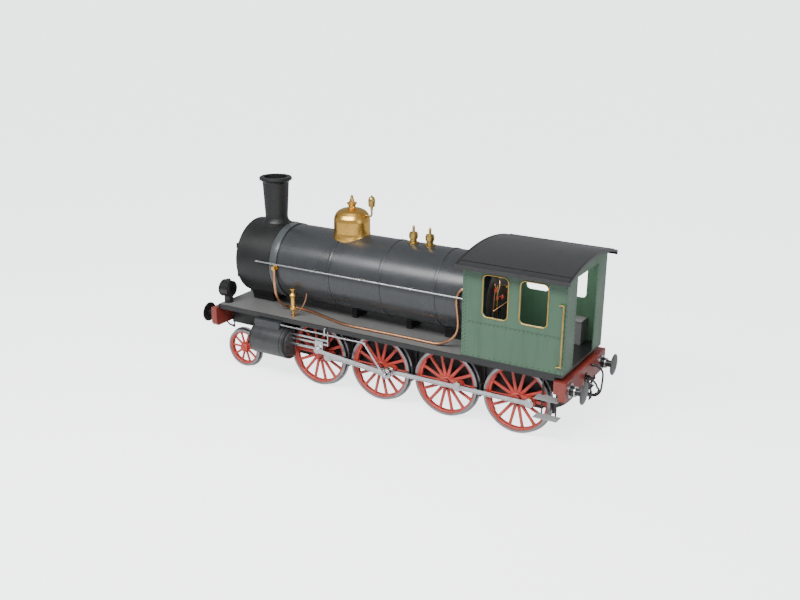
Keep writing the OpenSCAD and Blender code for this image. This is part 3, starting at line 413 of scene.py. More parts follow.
third = add("ShaderNodeMix", {0: dust_mask.outputs[0], 6: second.outputs[2], 7: start.outputs["Dust Colour"]},
            data_type="RGBA")
rougher = add("ShaderNodeMapRange", {0: patches.outputs["Fac"], 1: 0.3, 2: 0.7, 3: -0.07, 4: 0.09})
dust_rough = add("ShaderNodeMath", {0: dust_mask.outputs[0], 1: 0.4, 2: rougher.outputs[0]},
                 operation="MULTIPLY_ADD")
rough = add("ShaderNodeMath", {0: start.outputs["Roughness"], 1: dust_rough.outputs[0]}, operation="ADD",
            use_clamp=True)
weathered.links.new(third.outputs[2], end.inputs["Colour"])
weathered.links.new(rough.outputs[0], end.inputs["Roughness"])
weathered.links.new(grain.outputs["Fac"], end.inputs["Height"])
print(weathered.name, len(weathered.nodes), "nodes")

# %% Metal with fine tool marks and a film of oil
machined, start, end = new_group(
    "tool_marks",
    [("Colour", COLOUR, (0.6, 0.6, 0.6, 1)), ("Stain", COLOUR, (0.2, 0.15, 0.1, 1)),
     ("Stain Amount", NUMBER, 0.3), ("Roughness", NUMBER, 0.25), ("Stretch X", NUMBER, 3.0),
     ("Stretch Y", NUMBER, 90.0), ("Stretch Z", NUMBER, 90.0)],
    [("Colour", COLOUR), ("Roughness", NUMBER), ("Height", NUMBER)])
add = grow_tree(machined)
where = add("ShaderNodeTexCoord").outputs["Object"]
stretch = add("ShaderNodeCombineXYZ", {0: start.outputs["Stretch X"], 1: start.outputs["Stretch Y"],
                                       2: start.outputs["Stretch Z"]})
along = add("ShaderNodeVectorMath", {0: where, 1: stretch.outputs[0]}, operation="MULTIPLY")
marks = add("ShaderNodeTexNoise", {"Vector": along.outputs[0], "Scale": 4.0, "Detail": 4.0})
blots = add("ShaderNodeTexNoise", {"Vector": where, "Scale": 5.0, "Detail": 7.0, "Roughness": 0.65})
blot_mask = add("ShaderNodeMapRange", {0: blots.outputs["Fac"], 1: 0.45, 2: 0.7, 3: 0.0, 4: 1.0})
stained = add("ShaderNodeMath", {0: blot_mask.outputs[0], 1: start.outputs["Stain Amount"]}, operation="MULTIPLY")
mixed = add("ShaderNodeMix", {0: stained.outputs[0], 6: start.outputs["Colour"], 7: start.outputs["Stain"]},
            data_type="RGBA")
mark_rough = add("ShaderNodeMapRange", {0: marks.outputs["Fac"], 1: 0.3, 2: 0.7, 3: -0.06, 4: 0.10})
stain_rough = add("ShaderNodeMath", {0: stained.outputs[0], 1: 0.35, 2: mark_rough.outputs[0]},
                  operation="MULTIPLY_ADD")
rough = add("ShaderNodeMath", {0: start.outputs["Roughness"], 1: stain_rough.outputs[0]}, operation="ADD",
            use_clamp=True)
machined.links.new(mixed.outputs[2], end.inputs["Colour"])
machined.links.new(rough.outputs[0], end.inputs["Roughness"])
machined.links.new(marks.outputs["Fac"], end.inputs["Height"])
print(machined.name, len(machined.nodes), "nodes")

# %% [markdown]
# ## Finishes
# A finish is a Principled shader fed by one of the groups. Numbers that stay the same over the
# whole surface, such as metallic or coat, are typed into the shader itself.

# %% Make the finishes
def srgb(r, g, b):
    """A colour given in screen numbers from 0 to 255, turned into the linear numbers that shaders use."""
    def one(v):
        v /= 255
        return v / 12.92 if v <= 0.04045 else ((v + 0.055) / 1.055) ** 2.4
    return (one(r), one(g), one(b), 1.0)


def finish_from(name, group, values, bump=0.1, distance=0.001, **fixed):
    made = bpy.data.materials.new(name)
    made.use_nodes = True
    tree = made.node_tree
    shader = tree.nodes["Principled BSDF"]
    effect = tree.nodes.new("ShaderNodeGroup")
    effect.node_tree = group
    for key, value in values.items():
        effect.inputs[key].default_value = value
    tree.links.new(effect.outputs["Colour"], shader.inputs["Base Color"])
    tree.links.new(effect.outputs["Roughness"], shader.inputs["Roughness"])
    relief = tree.nodes.new("ShaderNodeBump")
    relief.inputs["Strength"].default_value = bump
    relief.inputs["Distance"].default_value = distance
    tree.links.new(effect.outputs["Height"], relief.inputs["Height"])
    tree.links.new(relief.outputs["Normal"], shader.inputs["Normal"])
    for key, value in fixed.items():
        shader.inputs[key.replace("_", " ")].default_value = value
    made.diffuse_color = values["Colour"]
    return made


RUST, ROAD_DUST = srgb(92, 62, 44), srgb(128, 116, 100)
OIL, TARNISH = srgb(66, 56, 46), srgb(112, 78, 44)


def paint(name, colour, roughness=0.4, dust=0.25, fade=0.3, streaks=0.3, bump=0.12, coat=0.0,
          dust_height=1.3, dust_colour=ROAD_DUST, grain=160.0, patch=1.5):
    return finish_from(name, weathered, {
        "Colour": colour, "Dust Colour": dust_colour, "Patch Size": patch, "Fade": fade,
        "Streaks": streaks, "Dust": dust, "Dust Height": dust_height, "Roughness": roughness,
        "Grain": grain}, bump=bump, Coat_Weight=coat, Coat_Roughness=0.25, Specular_IOR_Level=0.5)


def metal(name, colour, roughness=0.25, stain=0.3, stain_colour=OIL, stretch=(3, 90, 90), bump=0.05):
    return finish_from(name, machined, {
        "Colour": colour, "Stain": stain_colour, "Stain Amount": stain, "Roughness": roughness,
        "Stretch X": stretch[0], "Stretch Y": stretch[1], "Stretch Z": stretch[2]},
        bump=bump, Metallic=1.0)


FINISH = {
    "smokebox_black": paint("smokebox_black", srgb(17, 18, 19), 0.42, dust=0.12, fade=0.4),
    "frame_black": paint("frame_black", srgb(18, 18, 20), 0.5, dust=0.3, dust_height=1.3),
    "fitting_black": paint("fitting_black", srgb(17, 18, 19), 0.34, dust=0.1, coat=0.15),
    "boiler_grey": paint("boiler_grey", srgb(46, 49, 52), 0.30, dust=0.05, fade=0.3, coat=0.2, patch=1.1),
    "cylinder_grey": paint("cylinder_grey", srgb(46, 49, 51), 0.34, dust=0.25, coat=0.1),
    "deck_grey": paint("deck_grey", srgb(104, 105, 104), 0.6, dust=0.3, dust_height=2.5, streaks=0.2,
                       dust_colour=srgb(96, 92, 84)),
    "step_grey": paint("step_grey", srgb(150, 152, 152), 0.55, dust=0.35, dust_colour=srgb(98, 94, 86)),
    "roof_grey": paint("roof_grey", srgb(40, 41, 42), 0.33, dust=0.06, fade=0.6, patch=0.7),
    "cab_green": paint("cab_green", srgb(62, 92, 71), 0.42, dust=0.1, fade=0.2, dust_height=2.2, coat=0.1),
    "wheel_red": paint("wheel_red", srgb(178, 52, 40), 0.38, dust=0.4, dust_height=1.6, coat=0.1,
                       dust_colour=srgb(96, 74, 62)),
    "beam_red": paint("beam_red", srgb(122, 40, 30), 0.38, dust=0.25, dust_height=1.6, coat=0.15),
    "bright_steel": metal("bright_steel", srgb(196, 197, 200), 0.24, 0.35),
    "tyre_steel": metal("tyre_steel", srgb(150, 150, 152), 0.34, 0.4, stretch=(60, 60, 60)),
    "dull_steel": metal("dull_steel", srgb(120, 118, 115), 0.42, 0.5, stain_colour=RUST),
    "brass": metal("brass", srgb(226, 178, 92), 0.24, 0.2, TARNISH, (60, 60, 4)),
    "old_brass": metal("old_brass", srgb(186, 158, 92), 0.3, 0.35, TARNISH, (40, 40, 40)),
    "copper": metal("copper", srgb(205, 150, 116), 0.28, 0.3, srgb(110, 66, 48), (30, 30, 30)),
    # The front ring's grey is lighter than the boiler's as a painted highlight for its stronger shine; its lower
    # roughness and coat are real.
    "ring_grey_painted_highlight": paint("ring_grey_painted_highlight", srgb(66, 70, 72), 0.28, dust=0.02, fade=0.3, coat=0.3),
    "seam_green": paint("seam_green", srgb(30, 44, 36), 0.5, dust=0.1),
    "dial_white": paint("dial_white", srgb(206, 204, 192), 0.35, dust=0.0, coat=0.5),
    "lamp_glass": paint("lamp_glass", srgb(150, 156, 158), 0.12, dust=0.05, coat=0.6, bump=0.03),
    "hose_rubber": paint("hose_rubber", srgb(26, 26, 27), 0.6, dust=0.35, fade=0.2),
}
print("finishes", len(FINISH))

# %% Give every drawn piece its finish
NODE_FINISH = {
    "main_frame": "frame_black", "front_buffer_beam": "beam_red", "rear_buffer_beam": "beam_red",
    "buffers": "fitting_black", "screw_couplings": "fitting_black", "running_board": "deck_grey",
    "deck_side_plates": "fitting_black",
    "smokebox": "smokebox_black", "smokebox_saddle": "smokebox_black", "chimney": "smokebox_black",
    "boiler_barrel": "boiler_grey", "firebox_casing": "smokebox_black", "backhead_fittings": "old_brass",
    "dome": "brass", "whistle": "old_brass", "safety_valves": "old_brass", "boiler_handrails": "bright_steel",
    "boiler_side_fittings": "brass", "copper_pipes": "copper", "cylinders": "cylinder_grey",
    "slide_bars": "bright_steel", "valve_rods": "bright_steel", "cab_floor": "fitting_black",
    "cab_front": "cab_green", "cab_side_left": "cab_green", "cab_side_right": "cab_green",
    "cab_rear": "cab_green", "cab_roof": "roof_grey", "cab_window_frames": "old_brass",
    "cab_handrails": "old_brass", "cab_steps": "step_grey", "cab_seats": "deck_grey",
    "headlamps": "fitting_black", "brake_gear": "frame_black", "hose_fittings": "fitting_black",
    "smokebox_door": "smokebox_black", "firehole_door": "fitting_black", "pony_truck": "frame_black"}


def finish_of(name):
    if name in NODE_FINISH:
        return NODE_FINISH[name]
    if "tyres" in name:
        return "tyre_steel"
    if "wheelset" in name:
        return "wheel_red"
    return "hose_rubber" if "hose" in name else "bright_steel"


def dress(made, *names):
    """Gives a piece its finishes, the first one on every face that has no other."""
    made.data.materials.clear()
    for name in names:
        made.data.materials.append(FINISH[name])
    return made


for name, node in nodes.items():
    for place in node.material_slots:
        place.material = FINISH[finish_of(name)]
for made in hoses.values():
    dress(made, "hose_rubber")
print("dressed", len(nodes), "drawn pieces")

# %% [markdown]
# ## Rivets and bolts
# Hundreds of rivet heads hold the plates together. Each one is the same small shape, so a
# Geometry Nodes tree makes them: it takes a cloud of points, each with the direction in which
# its surface faces, and sets a head on every point. One tree serves round rivets and six-sided
# bolts. It ends in Realize Instances and Set Material, and the result is kept as a plain mesh.

# %% Helpers for Geometry Nodes trees
def new_geometry_tree(name, inputs):
    tree = bpy.data.node_groups.new(name, "GeometryNodeTree")
    tree.interface.new_socket(name="Geometry", in_out="INPUT", socket_type="NodeSocketGeometry")
    labels = {}
    for label, kind, value in inputs:
        socket = tree.interface.new_socket(name=label, in_out="INPUT", socket_type=kind)
        if value is not None:
            socket.default_value = value
        labels[label] = socket.identifier
    tree.interface.new_socket(name="Geometry", in_out="OUTPUT", socket_type="NodeSocketGeometry")
    return tree, tree.nodes.new("NodeGroupInput"), tree.nodes.new("NodeGroupOutput"), labels


def grown(base, tree, labels, values):
    """Grows the tree on a piece and returns the result as a plain mesh. The piece itself is removed."""
    modifier = base.modifiers.new("grow", "NODES")
    modifier.node_group = tree
    for label, value in values.items():
        modifier[labels[label]] = value
    seen = base.evaluated_get(bpy.context.evaluated_depsgraph_get())
    mesh = bpy.data.meshes.new_from_object(seen)
    base.modifiers.remove(modifier)
    bpy.data.objects.remove(base)
    return mesh


print("tree tools ready")

# %% The tree that sets heads on points
heads, start, end, head_labels = new_geometry_tree("heads_on_points", [
    ("Radius", "NodeSocketFloat", 0.012), ("Height", "NodeSocketFloat", 0.008),
    ("Six Sided", "NodeSocketBool", False), ("Seed", "NodeSocketInt", 7),
    ("Finish", "NodeSocketMaterial", None)])
add = grow_tree(heads)
facing = add("GeometryNodeInputNamedAttribute", {"Name": "facing"}, data_type="FLOAT_VECTOR")
turn = add("FunctionNodeRandomValue", {"Seed": start.outputs["Seed"]}, data_type="FLOAT_VECTOR")
turn.inputs[0].default_value = (0, 0, 0)
turn.inputs[1].default_value = (0, 0, 1.0472)
first_turn = add("FunctionNodeEulerToRotation", {0: turn.outputs[0]})
aligned = add("FunctionNodeAlignRotationToVector",
              {"Rotation": first_turn.outputs[0], "Vector": facing.outputs["Attribute"]}, axis="Z")
ball = add("GeometryNodeMeshUVSphere", {"Segments": 8, "Rings": 5, "Radius": 1.0})
nut = add("GeometryNodeMeshCylinder", {"Vertices": 6, "Radius": 1.0, "Depth": 2.0})
shape = add("GeometryNodeSwitch", {"Switch": start.outputs["Six Sided"], "False": ball.outputs["Mesh"],
                                   "True": nut.outputs["Mesh"]}, input_type="GEOMETRY")
size = add("ShaderNodeCombineXYZ", {0: start.outputs["Radius"], 1: start.outputs["Radius"],
                                    2: start.outputs["Height"]})
set_down = add("GeometryNodeInstanceOnPoints", {
    "Points": start.outputs["Geometry"], "Instance": shape.outputs[0],
    "Rotation": aligned.outputs[0], "Scale": size.outputs[0]})
real = add("GeometryNodeRealizeInstances", {"Geometry": set_down.outputs[0]})
coated = add("GeometryNodeSetMaterial", {"Geometry": real.outputs[0], "Material": start.outputs["Finish"]})
heads.links.new(coated.outputs[0], end.inputs["Geometry"])
print(heads.name, "inputs", list(head_labels))

# %% Rows, rings and grids of points
def row(start_at, stop_at, step, facing):
    """Points at even steps on a straight line, each with the way it faces."""
    a, b = Vector(start_at), Vector(stop_at)
    n = max(1, round((b - a).length / step))
    return [(a.lerp(b, k / n), Vector(facing)) for k in range(n + 1)]


def ring(centre, radius, n, axis="X", outward=True, way=1, first=0.0, arc=360.0):
    """Points round a circle. They face away from its centre, or along its axis."""
    points = []
    for k in range(n):
        a = math.radians(first + arc * k / n)
        c, s = math.cos(a), math.sin(a)
        out = {"X": Vector((0, c, s)), "Y": Vector((c, 0, s)), "Z": Vector((c, s, 0))}[axis]
        along = {"X": Vector((way, 0, 0)), "Y": Vector((0, way, 0)), "Z": Vector((0, 0, way))}[axis]
        points.append((Vector(centre) + out * radius, out if outward else along))
    return points


def on_both_sides(points):
    return points + [(Vector((p.x, -p.y, p.z)), Vector((f.x, -f.y, f.z))) for p, f in points]


def set_heads(name, points, radius, height, finish, six_sided=False, body="locomotive"):
    """A finished piece made of one rivet or bolt head on each point."""
    cloud = bpy.data.meshes.new(name + "_points")
    cloud.from_pydata([tuple(p) for p, _ in points], [], [])
    facing = cloud.attributes.new("facing", "FLOAT_VECTOR", "POINT")
    facing.data.foreach_set("vector", [v for _, f in points for v in f])
    base = shown(name + "_points", cloud)
    mesh = grown(base, heads, head_labels, {"Radius": radius, "Height": height, "Six Sided": six_sided,
                                            "Seed": 11, "Finish": FINISH[finish]})
    mesh.polygons.foreach_set("use_smooth", [not six_sided] * len(mesh.polygons))
    made = shown(name, mesh)
    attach(made, body)
    print(name, len(points), "heads", len(mesh.polygons), "faces")
    return made


print("point helpers ready")

# %% Pieces with several finishes
def piece(name, groups, finishes, body="locomotive", stands_for=(), crisp=35.0):
    """One object from several (corners, faces) lists. Each group names its place in finishes."""
    corners, faces, kinds = [], [], []
    for (some, more), kind in groups:
        start_at = len(corners)
        corners.extend(some)
        faces.extend([tuple(i + start_at for i in f) for f in more])
        kinds.extend([kind] * len(more))
    made = new_object(name, corners, faces, kinds=kinds)
    for finish in finishes:
        made.data.materials.append(FINISH[finish])
    smooth_by_angle(made, crisp)
    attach(made, body)
    if stands_for:
        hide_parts(*stands_for)
    return made


def turned(profile, centre, axis, steps=32):
    """A lathe shape closed at both ends, from (radius, distance along the axis) pairs."""
    closed = [(0.0, profile[0][1])] + list(profile) + [(0.0, profile[-1][1])]
    return lathe(closed, steps, centre, axis)


def disc(radius, low, high, centre=(0, 0, 0), axis="Y", steps=32, inset=0.003, chamfer=0.003):
    """A round plate or pin with both ends chamfered, between two distances along its axis."""
    return turned([(radius - inset, low), (radius, low + chamfer), (radius, high - chamfer),
                   (radius - inset, high)], centre, axis, steps)


print("piece maker ready")

# %% [markdown]
# ## The wheels
# A cast wheel has a rim, a hub, oval spokes that grow thicker at both ends, a boss for the
# crank pin and a crescent of iron opposite it, which balances the rods. One spoke is drawn and a
# Geometry Nodes tree copies it round the hub, so the number of spokes is a single input.

# %% The tree that repeats a spoke
spoking, start, end, spoke_labels = new_geometry_tree("spokes_round_hub", [
    ("Count", "NodeSocketInt", 14), ("Finish", "NodeSocketMaterial", None)])
add = grow_tree(spoking)
one = add("GeometryNodeGeometryToInstance", {0: start.outputs["Geometry"]})
many = add("GeometryNodeDuplicateElements", {"Geometry": one.outputs[0], "Amount": start.outputs["Count"]},
           domain="INSTANCE")
step = add("ShaderNodeMath", {0: 2 * math.pi, 1: start.outputs["Count"]}, operation="DIVIDE")
half = add("ShaderNodeMath", {0: many.outputs["Duplicate Index"], 1: 0.5}, operation="ADD")
angle = add("ShaderNodeMath", {0: half.outputs[0], 1: step.outputs[0]}, operation="MULTIPLY")
spin = add("ShaderNodeCombineXYZ", {1: angle.outputs[0]})
round_hub = add("GeometryNodeRotateInstances", {"Instances": many.outputs["Geometry"],
                                               "Rotation": spin.outputs[0]})
real = add("GeometryNodeRealizeInstances", {"Geometry": round_hub.outputs[0]})
coated = add("GeometryNodeSetMaterial", {"Geometry": real.outputs[0], "Material": start.outputs["Finish"]})
spoking.links.new(coated.outputs[0], end.inputs["Geometry"])
print(spoking.name, "ready")

# %% One wheel
WHEEL_MIDDLE = 0.745
AXLES, AXLE_Z, CRANK = (1.580, -0.020, -1.620, -3.220), 0.758, 0.300
LEADING_AXLE, LEADING_Z = 3.703, 0.476
CYLINDER_Y, CYLINDER_Z = 0.955, 0.940
SIDES = ((1, "left"), (-1, "right"))


def spokes(count, hub, rim, wide, thick):
    """Oval spokes from the hub to the rim, round the Y axis."""
    corners = []
    sides = 10
    stations = [(0.0, 1.25), (0.12, 1.05), (0.35, 0.95), (0.7, 0.87), (0.9, 0.92), (1.0, 1.2)]
    for along, grow in stations:
        r = hub + (rim - hub) * along
        for k in range(sides):
            a = 2 * math.pi * k / sides
            corners.append((wide / 2 * grow * math.cos(a), WHEEL_MIDDLE + thick / 2 * math.sin(a), r))
    base = new_object("one_spoke", corners, skin(len(stations), sides))
    mesh = grown(base, spoking, spoke_labels, {"Count": count, "Finish": FINISH["wheel_red"]})
    return [tuple(v.co) for v in mesh.vertices], [tuple(p.vertices) for p in mesh.polygons]


def wheel_rim(outer, inner, low, high):
    """The red rim inside the tyre, with its inner edges rounded off."""
    edge = 0.010
    loop = [(outer, low), (outer, high), (inner + edge, high), (inner, high - edge), (inner, low + edge),
            (inner + edge, low), (outer, low)]
    return lathe(loop, 96, axis="Y")


def moved(lists, x, z, side=1):
    """The same shape at another axle, and on the other side of the engine when side is -1."""
    corners, faces = lists
    return [(a + x, side * b, c + z) for a, b, c in corners], faces


driving_spokes = spokes(14, 0.115, 0.630, 0.076, 0.060)
leading_spokes = spokes(10, 0.085, 0.350, 0.062, 0.050)
print("spoke corners", len(driving_spokes[0]), len(leading_spokes[0]))

# %% Crank bosses, balance weights and pins
def crank_web(angle):
    """Boss, web and balance crescent for a crank that points this way."""
    c, s = math.cos(angle), math.sin(angle)

    def place(points):
        return [(u * c - v * s, u * s + v * c) for u, v in points]
    boss = [(CRANK + 0.115 * math.cos(math.radians(t)), 0.115 * math.sin(math.radians(t)))
            for t in range(-80, 81, 10)]
    web = place([(0.02, -0.120)] + boss + [(0.02, 0.120)])
    outer = [(-0.635 * math.cos(math.radians(t)), 0.635 * math.sin(math.radians(t)))
             for t in range(-42, 43, 6)]
    inner = [(0.150 - 0.725 * math.cos(math.radians(t)), 0.725 * math.sin(math.radians(t)))
             for t in range(30, -31, -6)]
    crescent = place(outer + inner)
    return slab(web, 0.716, 0.829), slab(crescent, 0.712, 0.785)


def steel_pin(x, z, long):
    """Crank pin with its collars and caps. The long one also carries the main rod and the link."""
    collars = [(0.055, 0.820, 0.897)]
    if long:
        collars += [(0.055, 0.897, 1.062), (0.070, 0.8985, 1.0065), (0.073, 1.062, 1.074),
                    (0.0245, 1.074, 1.142), (0.037, 1.142, 1.1515)]
    else:
        collars += [(0.073, 0.897, 0.9045), (0.030, 0.899, 0.9048)]
    return [disc(r, y0, y1, (x, 0, z)) for r, y0, y1 in collars]


HUB = [(0.020, 0.815), (0.020, 0.824), (0.086, 0.824), (0.090, 0.817), (0.096, 0.817), (0.100, 0.829),
       (0.130, 0.829), (0.140, 0.820), (0.140, 0.700), (0.125, 0.681)]
for number, x in enumerate(AXLES, start=1):
    groups = []
    for side, pin_angle in ((1, math.pi), (-1, math.pi / 2)):
        web, crescent = crank_web(pin_angle)
        rim = wheel_rim(0.6735, 0.630, 0.688, 0.802)
        for part in (rim, driving_spokes, turned(HUB, (0, 0, 0), "Y", 40), web, crescent):
            groups.append((moved(part, x, AXLE_Z, side), 0))
        px, pz = CRANK * math.cos(pin_angle), CRANK * math.sin(pin_angle)
        for part in steel_pin(px, pz, number == 2):
            groups.append((moved(part, x, AXLE_Z, side), 1))
    axle = disc(0.0895, -0.735, 0.735, inset=0.0015, chamfer=0.005)
    groups.append((moved(axle, x, AXLE_Z), 2))
    made = piece("driving_wheels_%d" % number, groups, ["wheel_red", "bright_steel", "dull_steel"],
                 "driving_axle_%d" % number, ["driving_wheelset_%d" % number])
    print(made.name, len(made.data.polygons), "faces")

# %% The leading wheels
groups = []
LEADING_HUB = [(0.016, 0.812), (0.016, 0.818), (0.072, 0.818), (0.075, 0.812), (0.080, 0.821), (0.097, 0.821),
               (0.105, 0.812), (0.105, 0.700), (0.095, 0.681)]
for side in (1, -1):
    rim = wheel_rim(0.3915, 0.352, 0.688, 0.802)
    for part in (rim, leading_spokes, turned(LEADING_HUB, (0, 0, 0), "Y", 36)):
        groups.append((moved(part, LEADING_AXLE, LEADING_Z, side), 0))
axle = disc(0.0745, -0.735, 0.735, inset=0.0015, chamfer=0.005)
groups.append((moved(axle, LEADING_AXLE, LEADING_Z), 1))
made = piece("leading_wheels", groups, ["wheel_red", "dull_steel"], "leading_axle",
             ["leading_wheelset"])
print(made.name, len(made.data.polygons), "faces")

# %% [markdown]
# ## Rods
# The rods are forged bars. Their sides are milled out to save weight, which leaves a raised rim
# round a long shallow groove, and each end carries a round eye with an oil cup on top. The eyes
# fit the crank pins, and the main rod's small end takes its place from the crosshead's own box.

# %% Coupling rods
def eye(x, z, r, hole, y0, y1, side):
    """A round eye with a chamfered edge and a hole for its pin."""
    edge = 0.004
    loop = [(hole, y0), (r - edge, y0), (r, y0 + edge), (r, y1 - edge), (r - edge, y1), (hole, y1), (hole, y0)]
    return moved(lathe(loop, 40, (x, 0, z), "Y"), 0, 0, side)


def cup(x, z, y, side):
    """A small oil cup with a lid."""
    return turned([(0.020, z), (0.020, z + 0.030), (0.024, z + 0.032), (0.024, z + 0.040),
                   (0.010, z + 0.048)], (x, side * y, 0), "Z", 16)


def grooved_bar(p, q, half_p, half_q, y0, y1, groove, side):
    """A straight bar from p to q with a milled groove on its outer face."""
    p, q = Vector((p[0], 0, p[1])), Vector((q[0], 0, q[1]))
    d = (q - p).normalized()
    n = Vector((-d.z, 0, d.x))
    length = (q - p).length
    stations = [0.0, 0.02, 0.98, 1.0]
    corners = []
    for t in stations:
        half = half_p + (half_q - half_p) * t
        lip = half * 0.62
        deep = groove if 0.01 < t < 0.99 else 0.0
        ring_points = [(-half, y0), (half, y0), (half, y1), (lip + 0.006, y1), (lip, y1 - deep),
                       (-lip, y1 - deep), (-lip - 0.006, y1), (-half, y1)]
        for v, y in ring_points:
            at = p + d * (length * t) + n * v
            corners.append((at.x, side * y, at.z))
    return corners, skin(len(stations), 8)


ROD_IN, ROD_OUT, PIN_HOLE = 0.8455, 0.8945, 0.0556
for side, label in SIDES:
    pins = [(x - CRANK, AXLE_Z) if side > 0 else (x, AXLE_Z + CRANK) for x in AXLES]
    groups = []
    for (xa, z), (xb, _) in zip(pins, pins[1:]):
        bar = grooved_bar((xa - 0.085, z), (xb + 0.085, z), 0.049, 0.049, ROD_IN, ROD_OUT, 0.011, side)
        groups.append((bar, 0))
    for x, z in pins:
        groups.append((eye(x, z, 0.0995, PIN_HOLE, ROD_IN, ROD_OUT, side), 0))
        groups.append((cup(x, z + 0.094, (ROD_IN + ROD_OUT) / 2, side), 1))
    made = piece("coupling_rod_%s_forged" % label, groups, ["bright_steel", "old_brass"],
                 "coupling_rod_" + label, ["coupling_rod_" + label])
    print(made.name, len(made.data.polygons), "faces")

# %% Main rods
MAIN_IN, MAIN_OUT = 1.0105, 1.0595
for side, label in SIDES:
    low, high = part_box("crosshead_" + label)
    small = (low[0] + 0.130, CYLINDER_Z)
    big = (AXLES[1] - CRANK, AXLE_Z) if side > 0 else (AXLES[1], AXLE_Z + CRANK)
    ahead = (Vector(small) - Vector(big)).normalized()
    a = (big[0] + ahead.x * 0.095, big[1] + ahead.y * 0.095)
    b = (small[0] - ahead.x * 0.070, small[1] - ahead.y * 0.070)
    groups = [(grooved_bar(a, b, 0.062, 0.045, MAIN_IN, MAIN_OUT, 0.012, side), 0),
              (eye(*big, 0.1095, PIN_HOLE, MAIN_IN, MAIN_OUT, side), 0),
              (eye(*small, 0.0795, 0.0300, MAIN_IN, MAIN_OUT, side), 0),
              (cup(big[0], big[1] + 0.104, (MAIN_IN + MAIN_OUT) / 2, side), 1)]
    cap = turned([(0.036, 1.052), (0.040, 1.056), (0.040, 1.064), (0.036, 1.0675)], (0, 0, 0), "Y", 24)
    groups.append((moved(cap, *small, side), 0))
    made = piece("main_rod_%s_forged" % label, groups, ["bright_steel", "old_brass"],
                 "main_rod_" + label, ["main_rod_" + label])
    print(made.name, "small end at", [round(v, 3) for v in small])

# %% [markdown]
# ## Boiler, smokebox and chimney trim
# The boiler's blue-grey cladding is held by narrow bands. A broad ring, painted a lighter grey than the cladding
# as a painted highlight, closes it against the smokebox, whose plates show rings of rivets. The smokebox door is
# held shut by small clamps.

# %% Rings on the boiler
BOILER_Z = 2.570
SMOKEBOX_RADIUS, SMOKEBOX_FRONT = 0.865, 3.785


def hoop(x0, x1, r, height=0.004):
    """A thin closed hoop that lies on the boiler."""
    loop = [(r - 0.010, x0), (r + height - 0.001, x0), (r + height, x0 + 0.003), (r + height, x1 - 0.003),
            (r + height - 0.001, x1), (r - 0.010, x1), (r - 0.010, x0)]
    return lathe(loop, 120, (0, 0, BOILER_Z), "X")


# The front ring's finish is a lighter grey than the cladding: a painted highlight.
front_ring = piece("boiler_front_ring", [(hoop(2.672, 2.856, 0.854), 0)], ["ring_grey_painted_highlight"])
dark_lines = piece("boiler_dark_lines", [
    (hoop(2.648, 2.660, 0.840, 0.016), 0), (hoop(2.858, 2.868, 0.862, 0.006), 0),
    (hoop(-2.090, -2.060, 0.840, 0.010), 0)], ["fitting_black"])
bands = [(hoop(x - 0.033, x + 0.033, 0.848, 0.0012), 0) for x in (1.295, 0.010, -1.300)]
piece("boiler_band_faces", bands, ["boiler_grey"])
print("rings on the boiler", len(front_ring.data.polygons) + len(dark_lines.data.polygons))

# %% Rivets on the smokebox
points = []
top = BOILER_Z + SMOKEBOX_RADIUS
for x in (3.755, 3.715, 2.905):
    points += ring((x, 0, BOILER_Z), SMOKEBOX_RADIUS, 76)
points += row((2.93, 0, top), (3.0, 0, top), 0.07, (0, 0, 1))
points += ring((SMOKEBOX_FRONT, 0, BOILER_Z), 0.835, 60, outward=False)
set_heads("smokebox_rivets", points, 0.011, 0.007, "smokebox_black")

# %% Clamps and the rim of the smokebox door
CLAMP_RING = 0.585
dogs = []
for k in range(10):
    a = math.radians(18 + 36 * k)
    if abs(math.cos(a)) > 0.97:
        continue  # the hinge is here
    y, z = CLAMP_RING * math.cos(a), BOILER_Z + CLAMP_RING * math.sin(a)
    dogs.append((turned([(0.026, SMOKEBOX_FRONT), (0.026, 3.812), (0.020, 3.818)], (0, y, z), "X", 12), 0))
    inner = Vector((0, -math.cos(a), -math.sin(a))) * 0.06
    side = Vector((0, -math.sin(a), math.cos(a))) * 0.013
    c = Vector((0, y, z))
    flat = [c + side, c + side + inner, c - side + inner, c - side]
    dogs.append((slab([(p.y, p.z) for p in flat], 3.812, 3.824, "X"), 0))
door_rim = lathe([(0.520, 3.802), (0.528, 3.816), (0.562, 3.808), (0.569, 3.796), (0.560, 3.790),
                  (0.520, 3.802)], 96, (0, 0, BOILER_Z), "X")
piece("smokebox_door_clamps", dogs, ["fitting_black"])
piece("smokebox_door_rim", [(door_rim, 0)], ["fitting_black"], "smokebox_door")
print("clamps", len(dogs) // 2)

# %% Chimney lip
CHIMNEY_X = 3.245
lip_in = lathe([(0.262, 4.445), (0.300, 4.4548), (0.345, 4.4548), (0.352, 4.452), (0.330, 4.440),
                (0.262, 4.430), (0.262, 4.445)], 64, (CHIMNEY_X, 0, 0), "Z")
piece("chimney_inner_lip", [(lip_in, 0)], ["old_brass"])
points = ring((CHIMNEY_X, 0, 4.375), 0.366, 18, "Z")
set_heads("chimney_lip_rivets", points, 0.009, 0.006, "smokebox_black")
print("chimney trimmed")

# %% [markdown]
# ## Cab plates
# The cab is built of flat green sheets. Rows of rivets show where they meet angle iron inside,
# with two close rows at the front edge, and a joint runs along the side below the windows. Each
# window has a half-round brass frame held by small screws.

